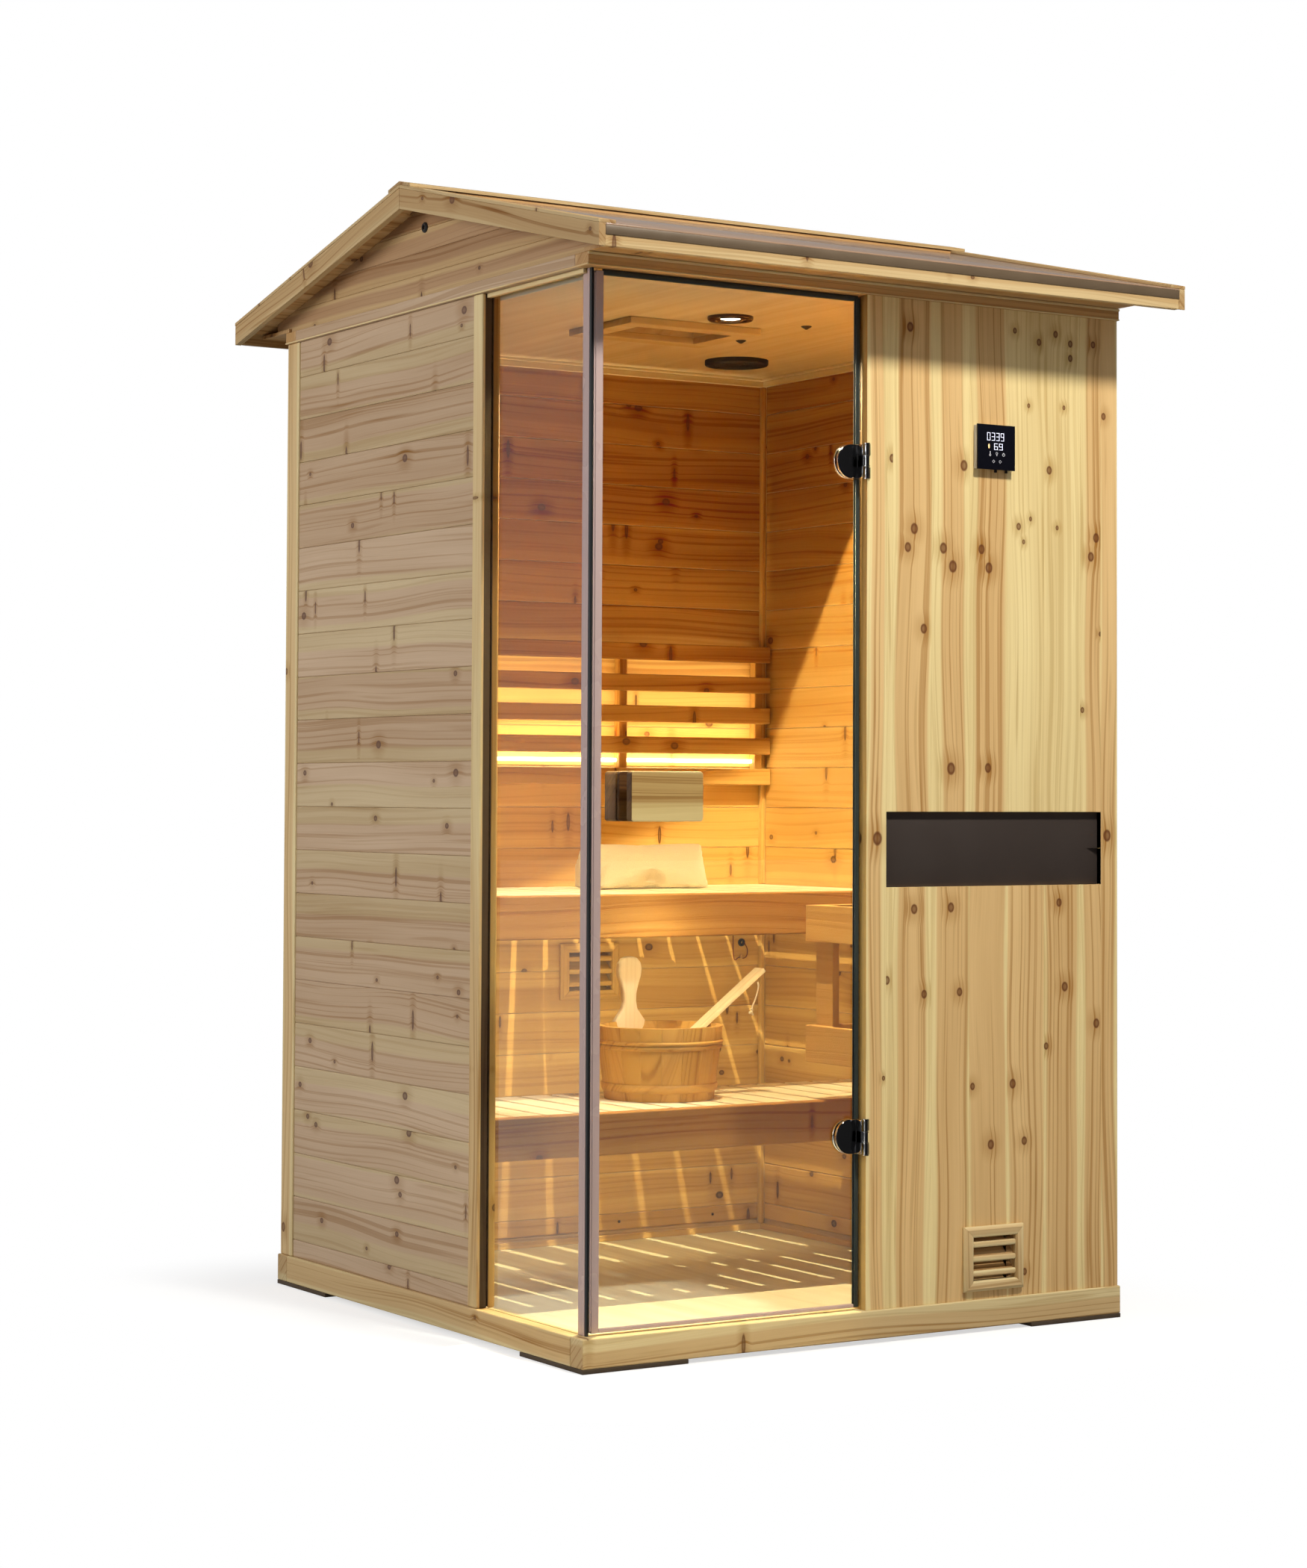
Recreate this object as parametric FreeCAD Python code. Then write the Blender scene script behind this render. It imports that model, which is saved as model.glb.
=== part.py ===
import FreeCAD, Part
import math
import os

from FreeCAD import Vector

# Outdoor sauna cabin for one or two people, in millimetres.
# X runs along the front to the right, -Y is the front with the door, +Z is up.
# The origin is on the ground under the middle of the cabin.

# Plan and plinth
plinth_width = 1300
plinth_depth = 1306
foot_height = 8.5
foot_size = 235
plinth_height = 56.5
plinth_thickness = 45
floor_drop = 24            # the floor lies this far under the top of the plinth

# Walls and top rail
wall_inset = 4.5           # outer wall face behind the outer face of the plinth
wall_thickness = 46
cladding_inset = 3         # the boards lie this far behind the faces of the posts
back_post_width = 57
glass_post_width = 38      # the post beside the side pane
wall_height = 2009         # from the top of the plinth to the underside of the top rail
rail_height = 26
rail_proud = 3.5           # the top rail stands this far in front of the walls

# Glass corner
glass_setback = 21
glass_thickness = 8
side_opening = 409         # from the outer front face to the glazed post
door_opening = 646.5       # from the left outer wall face to the front panel
door_gap = 5               # round the door, and between the door and the corner gasket
gasket_width = 4.5         # black gasket that closes the glass corner
gasket_depth = 15.5
profile_width = 16         # clear profiles on the edges of the glass
profile_proud = 2          # the profiles stand this far past both faces of the glass
hinge_seal_width = 9
edge_seal_height = 7       # seals along the top and the bottom of the door
seal_joint = 1             # between two seals that meet at a corner of the door

# Door fittings
hinge_barrel = 10
hinge_height = 70
hinge_joint = 0.4          # between two knuckles of the barrel
hinge_out = 6.5            # from the front face of the wall to the middle of the barrel
hinge_left = 5             # from the left edge of the front panel to the middle of the barrel
hinge_leaf_width = 6
hinge_leaf_thickness = 3
hinge_plate_thickness = 6
hinge_plate_radius = 34
hinge_plate_straight = 22
hinge_top_z = 1741
hinge_bottom_z = 406
handle_width = 162
handle_height = 95
handle_projection = 51
handle_rounding = 7
handle_left_gap = 52       # from the door's free edge to the handle's front lip
handle_z = 1074.5
handle_groove = 36
handle_groove_depth = 26
handle_lip = 17
inner_handle_projection = 40

# Roof
roof_rise = 188            # from the eave to the ridge, on top of the verge caps
eave_overhang = 136.5
verge_overhang = 59
eave_top_z = 2134.5
cap_thickness = 7
cap_width = 38
cap_lip = 1                # the verge caps stand this far past the barge boards
ridge_cap_reach = 48       # from the ridge to the edge of the ridge cap on either slope
sheet_thickness = 3
deck_thickness = 18
barge_thickness = 15
barge_height = 43
fascia_height = 39.5
soffit_thickness = 8
soffit_lap = 12            # the soffit runs this far in over the top rail
drip_thickness = 1.5
drip_height = 18
gable_overhang = 60
ridge_joint = 0.25         # half the joint between the two slopes

# Ceiling
ceiling_thickness = 18
ceiling_rise = 7.5         # the ceiling's underside above the underside of the top rail
hatch_frame_width = 330
hatch_frame_depth = 244
hatch_frame_border = 45
hatch_frame_thickness = 15
hatch_margin = 35          # the hatch laps the opening by this much all round
hatch_thickness = 10
hatch_frame_x = -51
hatch_frame_y = 20
lamp_diameter = 97
lamp_depth = 8
lamp_x = -31
lamp_y = -201
speaker_diameter = 147
speaker_depth = 12
speaker_from_right = 244   # from the inside of the right wall
speaker_from_back = 247    # from the inside of the back wall

# Benches
upper_bench_z = 864.5
upper_bench_depth = 552
upper_rail_height = 93
lower_bench_z = 431
lower_bench_depth = 400
lower_bench_step = 258     # its front edge is this far in front of the upper bench
lower_rail_height = 86
bench_rail_thickness = 28
bearer_rise = 25           # the bearers' underside above the underside of the front rail
slat_width = 62
slat_gap = 10
slat_thickness = 20
bench_end_gap = 4

# Backrest
backrest_bottom_z = 1102
backrest_slat_height = 39
backrest_pitch = 73
backrest_slats_count = 5
backrest_slat_thickness = 16
backrest_offset = 40       # from the wall to the front of the slats
rib_thickness = 22
rib_count = 4
rib_end_margin = 17
light_depth = 10
light_height = 8
light_drop = 12            # the light strip's top under the second slat

# Heater guard
guard_width = 400
guard_clearance = 203      # from its back rails to the front of the upper bench
guard_rail_thickness = 16
guard_rail_height = 78
guard_top_z = 844
guard_lower_top_z = 588
guard_post_width = 62
guard_post_thickness = 17

# Loose things on the benches
headrest_length = 306
headrest_depth = 110
headrest_height = 103
headrest_lean = 36
headrest_top = 44
headrest_x = 144
headrest_from_back = 245   # from the inside of the back wall to its front foot
bucket_rim_diameter = 272
bucket_base_diameter = 234
bucket_height = 156
bucket_wall = 14
bucket_x = -60
bucket_from_edge = 228     # from the front of the lower bench to the bucket's middle
rest_gap = 0.3             # between a loose thing and what it stands on
stave_width = 50
stave_rise = 140
stave_lap = 30             # the handle stave runs this far down the bucket's wall
stave_thickness = 14
ladle_bowl_radius = 36
ladle_bowl_height = 42
ladle_bowl_wall = 6
ladle_bowl_offset = 55
ladle_length = 360
ladle_width = 34
ladle_thickness = 9
ladle_clearance = 1.5      # between the ladle's handle and the bucket's rim

# Fittings on the front and the back wall
vent_width = 152
vent_height = 130
vent_border = 21.5
vent_thickness = 12
vent_slat_height = 12
vent_slat_setback = 3
vent_slat_count = 3
front_vent_shift = -7      # from the middle of the front panel
front_vent_z = 147
back_vent_x = 117
back_vent_z = 668
panel_width = 97
panel_height = 92
panel_depth = 15
panel_shift = -9           # from the middle of the front panel
panel_z = 1787
slate_left_margin = 49     # from the edges of the front panel
slate_right_margin = 44
slate_height = 150
slate_recess = 12
slate_thickness = 6
slate_z = 971

# Places worked out from the sizes above
half_w = plinth_width / 2
half_d = plinth_depth / 2
plinth_top = foot_height + plinth_height
floor_z = plinth_top - floor_drop
rail_z = plinth_top + wall_height
rail_top = rail_z + rail_height
wall_left = wall_inset - half_w
wall_right = half_w - wall_inset
wall_front = wall_inset - half_d
wall_back = half_d - wall_inset
inner_left = wall_left + wall_thickness
inner_right = wall_right - wall_thickness
inner_front = wall_front + wall_thickness
inner_back = wall_back - wall_thickness
ceiling_z = rail_z + ceiling_rise
panel_left = wall_left + door_opening
panel_middle = (panel_left + wall_right) / 2
side_glass_end = wall_front + side_opening
glass_x = wall_left + glass_setback
glass_y = wall_front + glass_setback
eave_y = half_d + eave_overhang
verge_x = half_w + verge_overhang
roof_slope = roof_rise / eave_y
hinge_x = panel_left - hinge_left
hinge_y = wall_front - hinge_out
upper_front = inner_back - upper_bench_depth
lower_front = upper_front - lower_bench_step
bucket_y = lower_front + bucket_from_edge
front_vent_x = panel_middle + front_vent_shift
panel_x = panel_middle + panel_shift


def box(x0, x1, y0, y1, z0, z1):
    return Part.makeBox(x1 - x0, y1 - y0, z1 - z0, Vector(x0, y0, z0))


def prism_along_x(points, x0, x1):
    corners = [Vector(x0, y, z) for y, z in points]
    face = Part.Face(Part.makePolygon(corners + corners[:1]))
    return face.extrude(Vector(x1 - x0, 0, 0))


def cylinder(radius, height, x, y, z):
    return Part.makeCylinder(radius, height, Vector(x, y, z))


def mirrored(shape, axis):
    return shape.mirror(Vector(0, 0, 0), axis)


def save(name, *solids):
    shape = solids[0] if len(solids) == 1 else Part.makeCompound(list(solids))
    shape.exportStep(os.path.join("parts", name + ".step"))


def roof_z(y, below=0):
    """Height of the verge cap's top over a place in the depth, less a vertical drop."""
    return eave_top_z + roof_rise - roof_slope * abs(y) - below


def build_base():
    feet = []
    for sx in (-1, 1):
        for sy in (-1, 1):
            x = sx * (half_w - foot_size / 2)
            y = sy * (half_d - foot_size / 2)
            feet.append(box(x - foot_size / 2, x + foot_size / 2,
                            y - foot_size / 2, y + foot_size / 2, 0, foot_height))
    save("foot_pads", *feet)
    side_y = half_d - plinth_thickness
    inner_x = half_w - plinth_thickness
    save("plinth_front_and_back",
         box(-half_w, half_w, -half_d, -side_y, foot_height, plinth_top),
         box(-half_w, half_w, side_y, half_d, foot_height, plinth_top))
    save("plinth_sides",
         box(-half_w, -inner_x, -side_y, side_y, foot_height, plinth_top),
         box(inner_x, half_w, -side_y, side_y, foot_height, plinth_top))
    save("floor_panel", box(-inner_x, inner_x, -side_y, side_y, foot_height, floor_z))


def build_walls():
    z0 = plinth_top
    z1 = rail_z
    side_end = wall_back - back_post_width
    back_left = box(wall_left, inner_left, side_end, wall_back, z0, z1)
    back_right = box(inner_right, wall_right, side_end, wall_back, z0, z1)
    glass_post_end = side_glass_end + glass_post_width
    glass_post = box(wall_left, inner_left, side_glass_end, glass_post_end, z0, z1)
    save("wall_posts", back_left, back_right, glass_post)

    board_left = wall_left + cladding_inset
    board_right = wall_right - cladding_inset
    board_back = wall_back - cladding_inset
    save("side_walls", box(board_left, inner_left, glass_post_end, side_end, z0, z1),
         box(inner_right, board_right, inner_front, side_end, z0, z1))

    back = box(inner_left, inner_right, inner_back, board_back, z0, z1)
    hole = vent_hole(back_vent_x, back_vent_z, inner_back, board_back)
    save("back_wall", back.cut(hole))

    front = box(panel_left, wall_right, wall_front, inner_front, z0, z1)
    front = front.cut(vent_hole(front_vent_x, front_vent_z, wall_front, inner_front))
    slate_x0 = panel_left + slate_left_margin
    slate_x1 = wall_right - slate_right_margin
    slate_z0 = slate_z - slate_height / 2
    slate_z1 = slate_z + slate_height / 2
    slate_y0 = wall_front + slate_recess
    slate_y1 = slate_y0 + slate_thickness
    save("front_wall", front.cut(box(slate_x0, slate_x1, wall_front, slate_y1, slate_z0, slate_z1)))
    save("slate_panel", box(slate_x0, slate_x1, slate_y0, slate_y1, slate_z0, slate_z1))


def vent_hole(x, z, y0, y1):
    half_x = vent_width / 2 - vent_border
    half_z = vent_height / 2 - vent_border
    return box(x - half_x, x + half_x, y0, y1, z - half_z, z + half_z)


def build_rails():
    front = wall_front - rail_proud
    back = wall_back + rail_proud
    left = wall_left - rail_proud
    right = wall_right + rail_proud
    save("top_rails_front_and_back", box(left, right, front, inner_front, rail_z, rail_top),
         box(left, right, inner_back, back, rail_z, rail_top))
    save("top_rails_sides", box(left, inner_left, inner_front, inner_back, rail_z, rail_top),
         box(inner_right, right, inner_front, inner_back, rail_z, rail_top))


def build_glass():
    pane_front = glass_y + gasket_depth
    pane = box(glass_x, glass_x + glass_thickness, pane_front, side_glass_end,
               plinth_top, rail_z)
    save("side_glass", pane)
    gasket_left = glass_x - profile_proud
    gasket_right = gasket_left + gasket_width
    save("corner_gasket", box(gasket_left, gasket_right, glass_y, pane_front, plinth_top, rail_z))
    profile = box(gasket_left, glass_x + glass_thickness + profile_proud,
                  pane_front, pane_front + profile_width, plinth_top, rail_z)
    save("side_glass_profile", profile.cut(pane))

    door_z0 = plinth_top + door_gap
    door_z1 = rail_z - door_gap
    door_x0 = gasket_right + door_gap
    door_x1 = panel_left - door_gap
    glass_back = glass_y + glass_thickness
    pane = box(door_x0 + profile_proud, door_x1 - profile_proud, glass_y, glass_back,
               door_z0 + profile_proud, door_z1 - profile_proud)
    save("door_glass", pane)
    seal_y0 = glass_y - profile_proud
    seal_y1 = glass_back + profile_proud
    free_x1 = door_x0 + profile_width
    hinge_x0 = door_x1 - hinge_seal_width
    free = box(door_x0, free_x1, seal_y0, seal_y1, door_z0, door_z1)
    bottom = box(free_x1 + seal_joint, hinge_x0 - seal_joint, seal_y0, seal_y1,
                 door_z0, door_z0 + edge_seal_height)
    save("door_clear_seals", free.cut(pane), bottom.cut(pane))
    top = box(free_x1 + seal_joint, hinge_x0 - seal_joint, seal_y0, seal_y1,
              door_z1 - edge_seal_height, door_z1)
    seals = [top.cut(pane)]
    runs = []
    low = door_z0
    for z in (hinge_bottom_z, hinge_top_z):
        runs.append((low, z - hinge_plate_radius))
        low = z + hinge_plate_radius
    runs.append((low, door_z1))
    for z0, z1 in runs:
        seals.append(box(hinge_x0, door_x1, seal_y0, seal_y1, z0, z1).cut(pane))
    save("door_black_seals", *seals)

    clamps = []
    leaves = []
    for z in (hinge_bottom_z, hinge_top_z):
        clamps.extend(door_clamp(z, door_x1 - profile_proud))
        leaves.extend(hinge_leaf(z))
    save("door_clamps", *clamps)
    save("hinge_leaves", *leaves)
    build_handle(door_x0)


def clamp_plate(z, y0, y1, x_end):
    """A plate that is half round on the side away from the hinge."""
    centre_x = hinge_x - hinge_plate_straight
    radius = hinge_plate_radius
    disc = Part.makeCylinder(radius, y1 - y0, Vector(centre_x, y0, z), Vector(0, 1, 0))
    right_half = box(centre_x, centre_x + radius, y0, y1, z - radius, z + radius)
    tail = box(centre_x, x_end, y0, y1, z - radius, z + radius)
    return disc.cut(right_half).fuse(tail).removeSplitter()


def knuckle_span(z):
    """Lower and upper end of the barrel's knuckle whose middle is at this height."""
    half = (hinge_height / 3 - hinge_joint) / 2
    return z - half, z + half


def door_clamp(z, x_end):
    """A round-ended plate each side of the glass, with the middle knuckle of the barrel."""
    z0, z1 = knuckle_span(z)
    front = clamp_plate(z, glass_y - hinge_plate_thickness, glass_y, x_end)
    knuckle = cylinder(hinge_barrel / 2, z1 - z0, hinge_x, hinge_y, z0)
    arm = box(x_end - hinge_plate_thickness, x_end, hinge_y, glass_y, z0, z1)
    front = front.fuse(arm).fuse(knuckle).removeSplitter()
    glass_back = glass_y + glass_thickness
    back = clamp_plate(z, glass_back, glass_back + hinge_plate_thickness, x_end)
    return front, back


def hinge_leaf(z):
    """The two outer knuckles on a plate that is screwed to the front panel."""
    pieces = []
    for sign in (-1, 1):
        z0, z1 = knuckle_span(z + sign * hinge_height / 3)
        knuckle = cylinder(hinge_barrel / 2, z1 - z0, hinge_x, hinge_y, z0)
        plate = box(hinge_x, panel_left + hinge_leaf_width,
                    wall_front - hinge_leaf_thickness, wall_front, z0, z1)
        pieces.append(knuckle.fuse(plate).removeSplitter())
    return pieces


def rounded_block(x0, x1, y0, y1, z0, z1, rounding):
    """A block whose four edges along its depth are rounded."""
    block = box(x0, x1, y0, y1, z0, z1)
    edges = []
    for edge in block.Edges:
        start, end = (vertex.Point for vertex in edge.Vertexes)
        if abs((end - start).y) > 1:
            edges.append(edge)
    return block.makeFillet(rounding, edges)


def build_handle(door_x0):
    x0 = door_x0 + handle_left_gap
    x1 = x0 + handle_width
    z0 = handle_z - handle_height / 2
    z1 = handle_z + handle_height / 2
    y0 = glass_y - handle_projection
    outer = rounded_block(x0, x1, y0, glass_y, z0, z1, handle_rounding)
    lip_back = y0 + handle_lip
    groove = box(x0, x0 + handle_groove, lip_back, lip_back + handle_groove_depth, z0, z1)
    glass_back = glass_y + glass_thickness
    inner = rounded_block(x0, x1, glass_back, glass_back + inner_handle_projection, z0, z1,
                          handle_rounding)
    save("door_handles", outer.cut(groove), inner)


def build_ceiling():
    z0 = ceiling_z
    z1 = ceiling_z + ceiling_thickness
    low = z0 - hatch_frame_thickness
    panel = box(inner_left, inner_right, inner_front, inner_back, z0, z1)
    hx = hatch_frame_width / 2
    hy = hatch_frame_depth / 2
    frame = centred(hatch_frame_x, hatch_frame_y, hx, hy, low, z0)
    open_x = hx - hatch_frame_border
    open_y = hy - hatch_frame_border
    opening = centred(hatch_frame_x, hatch_frame_y, open_x, open_y, low, z1)
    save("ceiling_panel", panel.cut(opening))
    save("ceiling_vent_frame", frame.cut(opening))
    save("ceiling_vent_hatch", centred(hatch_frame_x, hatch_frame_y, open_x + hatch_margin,
                                       open_y + hatch_margin, z1, z1 + hatch_thickness))
    save("ceiling_light", cylinder(lamp_diameter / 2, lamp_depth, lamp_x, lamp_y, z0 - lamp_depth))
    save("ceiling_speaker", cylinder(speaker_diameter / 2, speaker_depth,
                                     inner_right - speaker_from_right,
                                     inner_back - speaker_from_back, z0 - speaker_depth))


def centred(x, y, half_x, half_y, z0, z1):
    return box(x - half_x, x + half_x, y - half_y, y + half_y, z0, z1)


def slope_band(y_ridge, y_end, top_drop, bottom_drop, x0, x1):
    """A band that follows the front slope, between two vertical drops under the cap's top."""
    points = [(y_ridge, roof_z(y_ridge, top_drop)), (y_end, roof_z(y_end, top_drop)),
              (y_end, roof_z(y_end, bottom_drop)), (y_ridge, roof_z(y_ridge, bottom_drop))]
    return prism_along_x(points, x0, x1)


def front_and_back(shape):
    return shape, mirrored(shape, Vector(0, 1, 0))


def build_roof():
    deck_drop = cap_thickness + sheet_thickness
    under_drop = deck_drop + deck_thickness
    inside_x = verge_x - barge_thickness
    fascia_y0 = -(eave_y - drip_thickness)
    fascia_y1 = fascia_y0 + barge_thickness
    deck = slope_band(-ridge_joint, fascia_y1, deck_drop, under_drop, -inside_x, inside_x)
    save("roof_decks", *front_and_back(deck))
    sheet = slope_band(-ridge_joint, -eave_y, cap_thickness, deck_drop, -inside_x, inside_x)
    save("roof_sheets", *front_and_back(sheet))

    barge = slope_band(-ridge_joint, -eave_y, cap_thickness, cap_thickness + barge_height,
                       -verge_x, -inside_x)
    right_barge = mirrored(barge, Vector(1, 0, 0))
    save("barge_boards", *(front_and_back(barge) + front_and_back(right_barge)))

    cap_x = verge_x + cap_lip
    cap = slope_band(-ridge_joint, -eave_y, 0, cap_thickness, -cap_x, -cap_x + cap_width)
    right_cap = mirrored(cap, Vector(1, 0, 0))
    save("verge_caps", *(front_and_back(cap) + front_and_back(right_cap)))
    ridge = slope_band(0, -ridge_cap_reach, -cap_thickness, 0, -cap_x, cap_x)
    ridge = ridge.fuse(mirrored(ridge, Vector(0, 1, 0))).removeSplitter()
    save("ridge_cap", ridge)

    fascia_top = roof_z(fascia_y0, deck_drop)
    points = [(fascia_y0, fascia_top - fascia_height), (fascia_y1, fascia_top - fascia_height),
              (fascia_y1, roof_z(fascia_y1, deck_drop)), (fascia_y0, fascia_top)]
    save("eave_fascias", *front_and_back(prism_along_x(points, -inside_x, inside_x)))
    drip = box(-inside_x, inside_x, -eave_y, fascia_y0,
               fascia_top - drip_height, roof_z(-eave_y, deck_drop))
    save("drip_strips", *front_and_back(drip))
    soffit = box(wall_left - rail_proud, wall_right + rail_proud, fascia_y1,
                 wall_front + soffit_lap, rail_top, rail_top + soffit_thickness)
    save("eave_soffits", *front_and_back(soffit))
    build_gables(under_drop)


def build_gables(under_drop):
    soffit_end = wall_front + soffit_lap
    soffit_top = rail_top + soffit_thickness
    end = wall_front - gable_overhang
    half = [(soffit_end, rail_top), (soffit_end, soffit_top), (end, soffit_top),
            (end, roof_z(end, under_drop)), (0, roof_z(0, under_drop))]
    other = [(-y, z) for y, z in reversed(half[:-1])]
    left = prism_along_x(half + other, wall_left + cladding_inset, inner_left)
    save("gables", left, mirrored(left, Vector(1, 0, 0)))


def bench_slats(front, back, top_z):
    """Slats that run from front to back, spread evenly over the width between the walls."""
    x0 = inner_left + bench_end_gap
    x1 = inner_right - bench_end_gap
    count = int((x1 - x0 + slat_gap) // (slat_width + slat_gap))
    gap = (x1 - x0 - count * slat_width) / (count - 1)
    slats = []
    for i in range(count):
        x = x0 + i * (slat_width + gap)
        slats.append(box(x, x + slat_width, front, back, top_z - slat_thickness, top_z))
    return slats


def bench_frame(front, back, top_z, rail_height_here):
    """The front rail of a bench, and the bearer behind it with the one at the back."""
    rail_bottom = top_z - rail_height_here
    bearer_bottom = rail_bottom + bearer_rise
    under = top_z - slat_thickness
    rail_back = front + bench_rail_thickness
    rail = box(inner_left, inner_right, front, rail_back, rail_bottom, top_z)
    ledger = box(inner_left, inner_right, rail_back, rail_back + bench_rail_thickness,
                 bearer_bottom, under)
    rear = box(inner_left, inner_right, back - bench_rail_thickness, back, bearer_bottom, under)
    return rail, ledger, rear


def build_benches():
    low_back = lower_front + lower_bench_depth
    save("upper_bench_slats", *bench_slats(upper_front + bench_rail_thickness, inner_back,
                                           upper_bench_z))
    save("lower_bench_slats", *bench_slats(lower_front + bench_rail_thickness, low_back,
                                           lower_bench_z))
    upper = bench_frame(upper_front, inner_back, upper_bench_z, upper_rail_height)
    lower = bench_frame(lower_front, low_back, lower_bench_z, lower_rail_height)
    save("bench_front_rails", upper[0], lower[0])
    save("bench_bearers", upper[1], upper[2], lower[1], lower[2])


def build_backrest():
    slat_y0 = inner_back - backrest_offset
    slat_y1 = slat_y0 + backrest_slat_thickness
    slats = []
    for i in range(backrest_slats_count):
        z = backrest_bottom_z + i * backrest_pitch
        slats.append(box(inner_left + bench_end_gap, inner_right - bench_end_gap,
                         slat_y0, slat_y1, z, z + backrest_slat_height))
    save("backrest_slats", *slats)
    top = backrest_bottom_z + (backrest_slats_count - 1) * backrest_pitch + backrest_slat_height
    first = inner_left + rib_end_margin
    step = (inner_right - inner_left - 2 * rib_end_margin - rib_thickness) / (rib_count - 1)
    ribs = []
    for i in range(rib_count):
        x = first + i * step
        ribs.append(box(x, x + rib_thickness, slat_y1, inner_back, backrest_bottom_z, top))
    save("backrest_ribs", *ribs)
    light_z = backrest_bottom_z + backrest_pitch - light_drop
    lights = []
    for i in range(rib_count - 1):
        x0 = first + i * step + rib_thickness
        x1 = first + (i + 1) * step
        lights.append(box(x0, x1, inner_back - light_depth, inner_back,
                          light_z - light_height, light_z))
    save("backrest_light", *lights)


def build_guard():
    left = inner_right - guard_width
    back = upper_front - guard_clearance
    post_x = left + guard_rail_thickness
    post_y1 = back - guard_rail_thickness
    guard = box(post_x, post_x + guard_post_thickness, post_y1 - guard_post_width, post_y1,
                guard_lower_top_z - guard_rail_height, guard_top_z)
    for top in (guard_top_z, guard_lower_top_z):
        z0 = top - guard_rail_height
        side = box(left, left + guard_rail_thickness, inner_front, post_y1, z0, top)
        rear = box(left, inner_right, post_y1, back, z0, top)
        guard = guard.fuse(side).fuse(rear)
    save("heater_guard", guard.removeSplitter())


def build_headrest():
    x0 = headrest_x - headrest_length / 2
    y0 = inner_back - headrest_from_back
    y1 = y0 + headrest_depth
    z0 = upper_bench_z + rest_gap
    z1 = z0 + headrest_height
    top_y = y0 + headrest_lean
    outline = [(y0, z0), (y1, z0), (y1, z0 + headrest_height / 2),
               (top_y + headrest_top, z1), (top_y, z1)]
    save("headrest", prism_along_x(outline, x0, x0 + headrest_length))


def build_bucket():
    z = lower_bench_z
    rim = bucket_rim_diameter / 2
    base = bucket_base_diameter / 2
    outside = Part.makeCone(base, rim, bucket_height, Vector(bucket_x, bucket_y, z))
    inside = Part.makeCone(base - bucket_wall, rim - bucket_wall, bucket_height - bucket_wall,
                           Vector(bucket_x, bucket_y, z + bucket_wall))
    stave_y = bucket_y + rim - bucket_wall
    stave = box(bucket_x - stave_width / 2, bucket_x + stave_width / 2,
                stave_y, stave_y + stave_thickness, z + bucket_height - stave_lap,
                z + bucket_height + stave_rise)
    save("bucket", outside.cut(inside).fuse(stave).removeSplitter())

    bowl_x = bucket_x - ladle_bowl_offset
    bowl_z = z + bucket_wall + rest_gap
    bowl = cylinder(ladle_bowl_radius, ladle_bowl_height, bowl_x, bucket_y, bowl_z)
    hollow = cylinder(ladle_bowl_radius - ladle_bowl_wall, ladle_bowl_height,
                      bowl_x, bucket_y, bowl_z + ladle_bowl_wall)
    start_x = bowl_x + ladle_bowl_radius - ladle_bowl_wall
    start_z = bowl_z + ladle_bowl_height - ladle_thickness
    rise = z + bucket_height + ladle_clearance - start_z
    angle = math.atan2(rise, bucket_x + rim - bucket_wall - start_x)
    handle = box(0, ladle_length, -ladle_width / 2, ladle_width / 2, 0, ladle_thickness)
    handle.rotate(Vector(0, 0, 0), Vector(0, 1, 0), -math.degrees(angle))
    handle.translate(Vector(start_x, bucket_y, start_z))
    save("ladle", bowl.cut(hollow).fuse(handle).removeSplitter())


def vent(x, z, face):
    """A frame on a wall's face, with wooden slats across its opening."""
    y0 = face - vent_thickness
    frame = box(x - vent_width / 2, x + vent_width / 2, y0, face,
                z - vent_height / 2, z + vent_height / 2)
    shape = frame.cut(vent_hole(x, z, y0, face))
    half_x = vent_width / 2 - vent_border
    opening_height = vent_height - 2 * vent_border
    pitch = opening_height / vent_slat_count
    for i in range(vent_slat_count):
        slat_z = z - opening_height / 2 + (i + 0.5) * pitch
        slat = box(x - half_x, x + half_x, y0 + vent_slat_setback, face,
                   slat_z - vent_slat_height / 2, slat_z + vent_slat_height / 2)
        shape = shape.fuse(slat)
    return shape.removeSplitter()


def build_fittings():
    save("front_vent", vent(front_vent_x, front_vent_z, wall_front))
    save("back_vent", vent(back_vent_x, back_vent_z, inner_back))
    save("control_panel", box(panel_x - panel_width / 2, panel_x + panel_width / 2,
                              wall_front - panel_depth, wall_front,
                              panel_z - panel_height / 2, panel_z + panel_height / 2))


os.makedirs("parts", exist_ok=True)
build_base()
build_walls()
build_rails()
build_glass()
build_ceiling()
build_roof()
build_benches()
build_backrest()
build_guard()
build_headrest()
build_bucket()
build_fittings()
print("door axis", hinge_x, hinge_y)
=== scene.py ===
import math
import random

import bmesh
import bpy
from mathutils import Matrix, Vector


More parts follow.
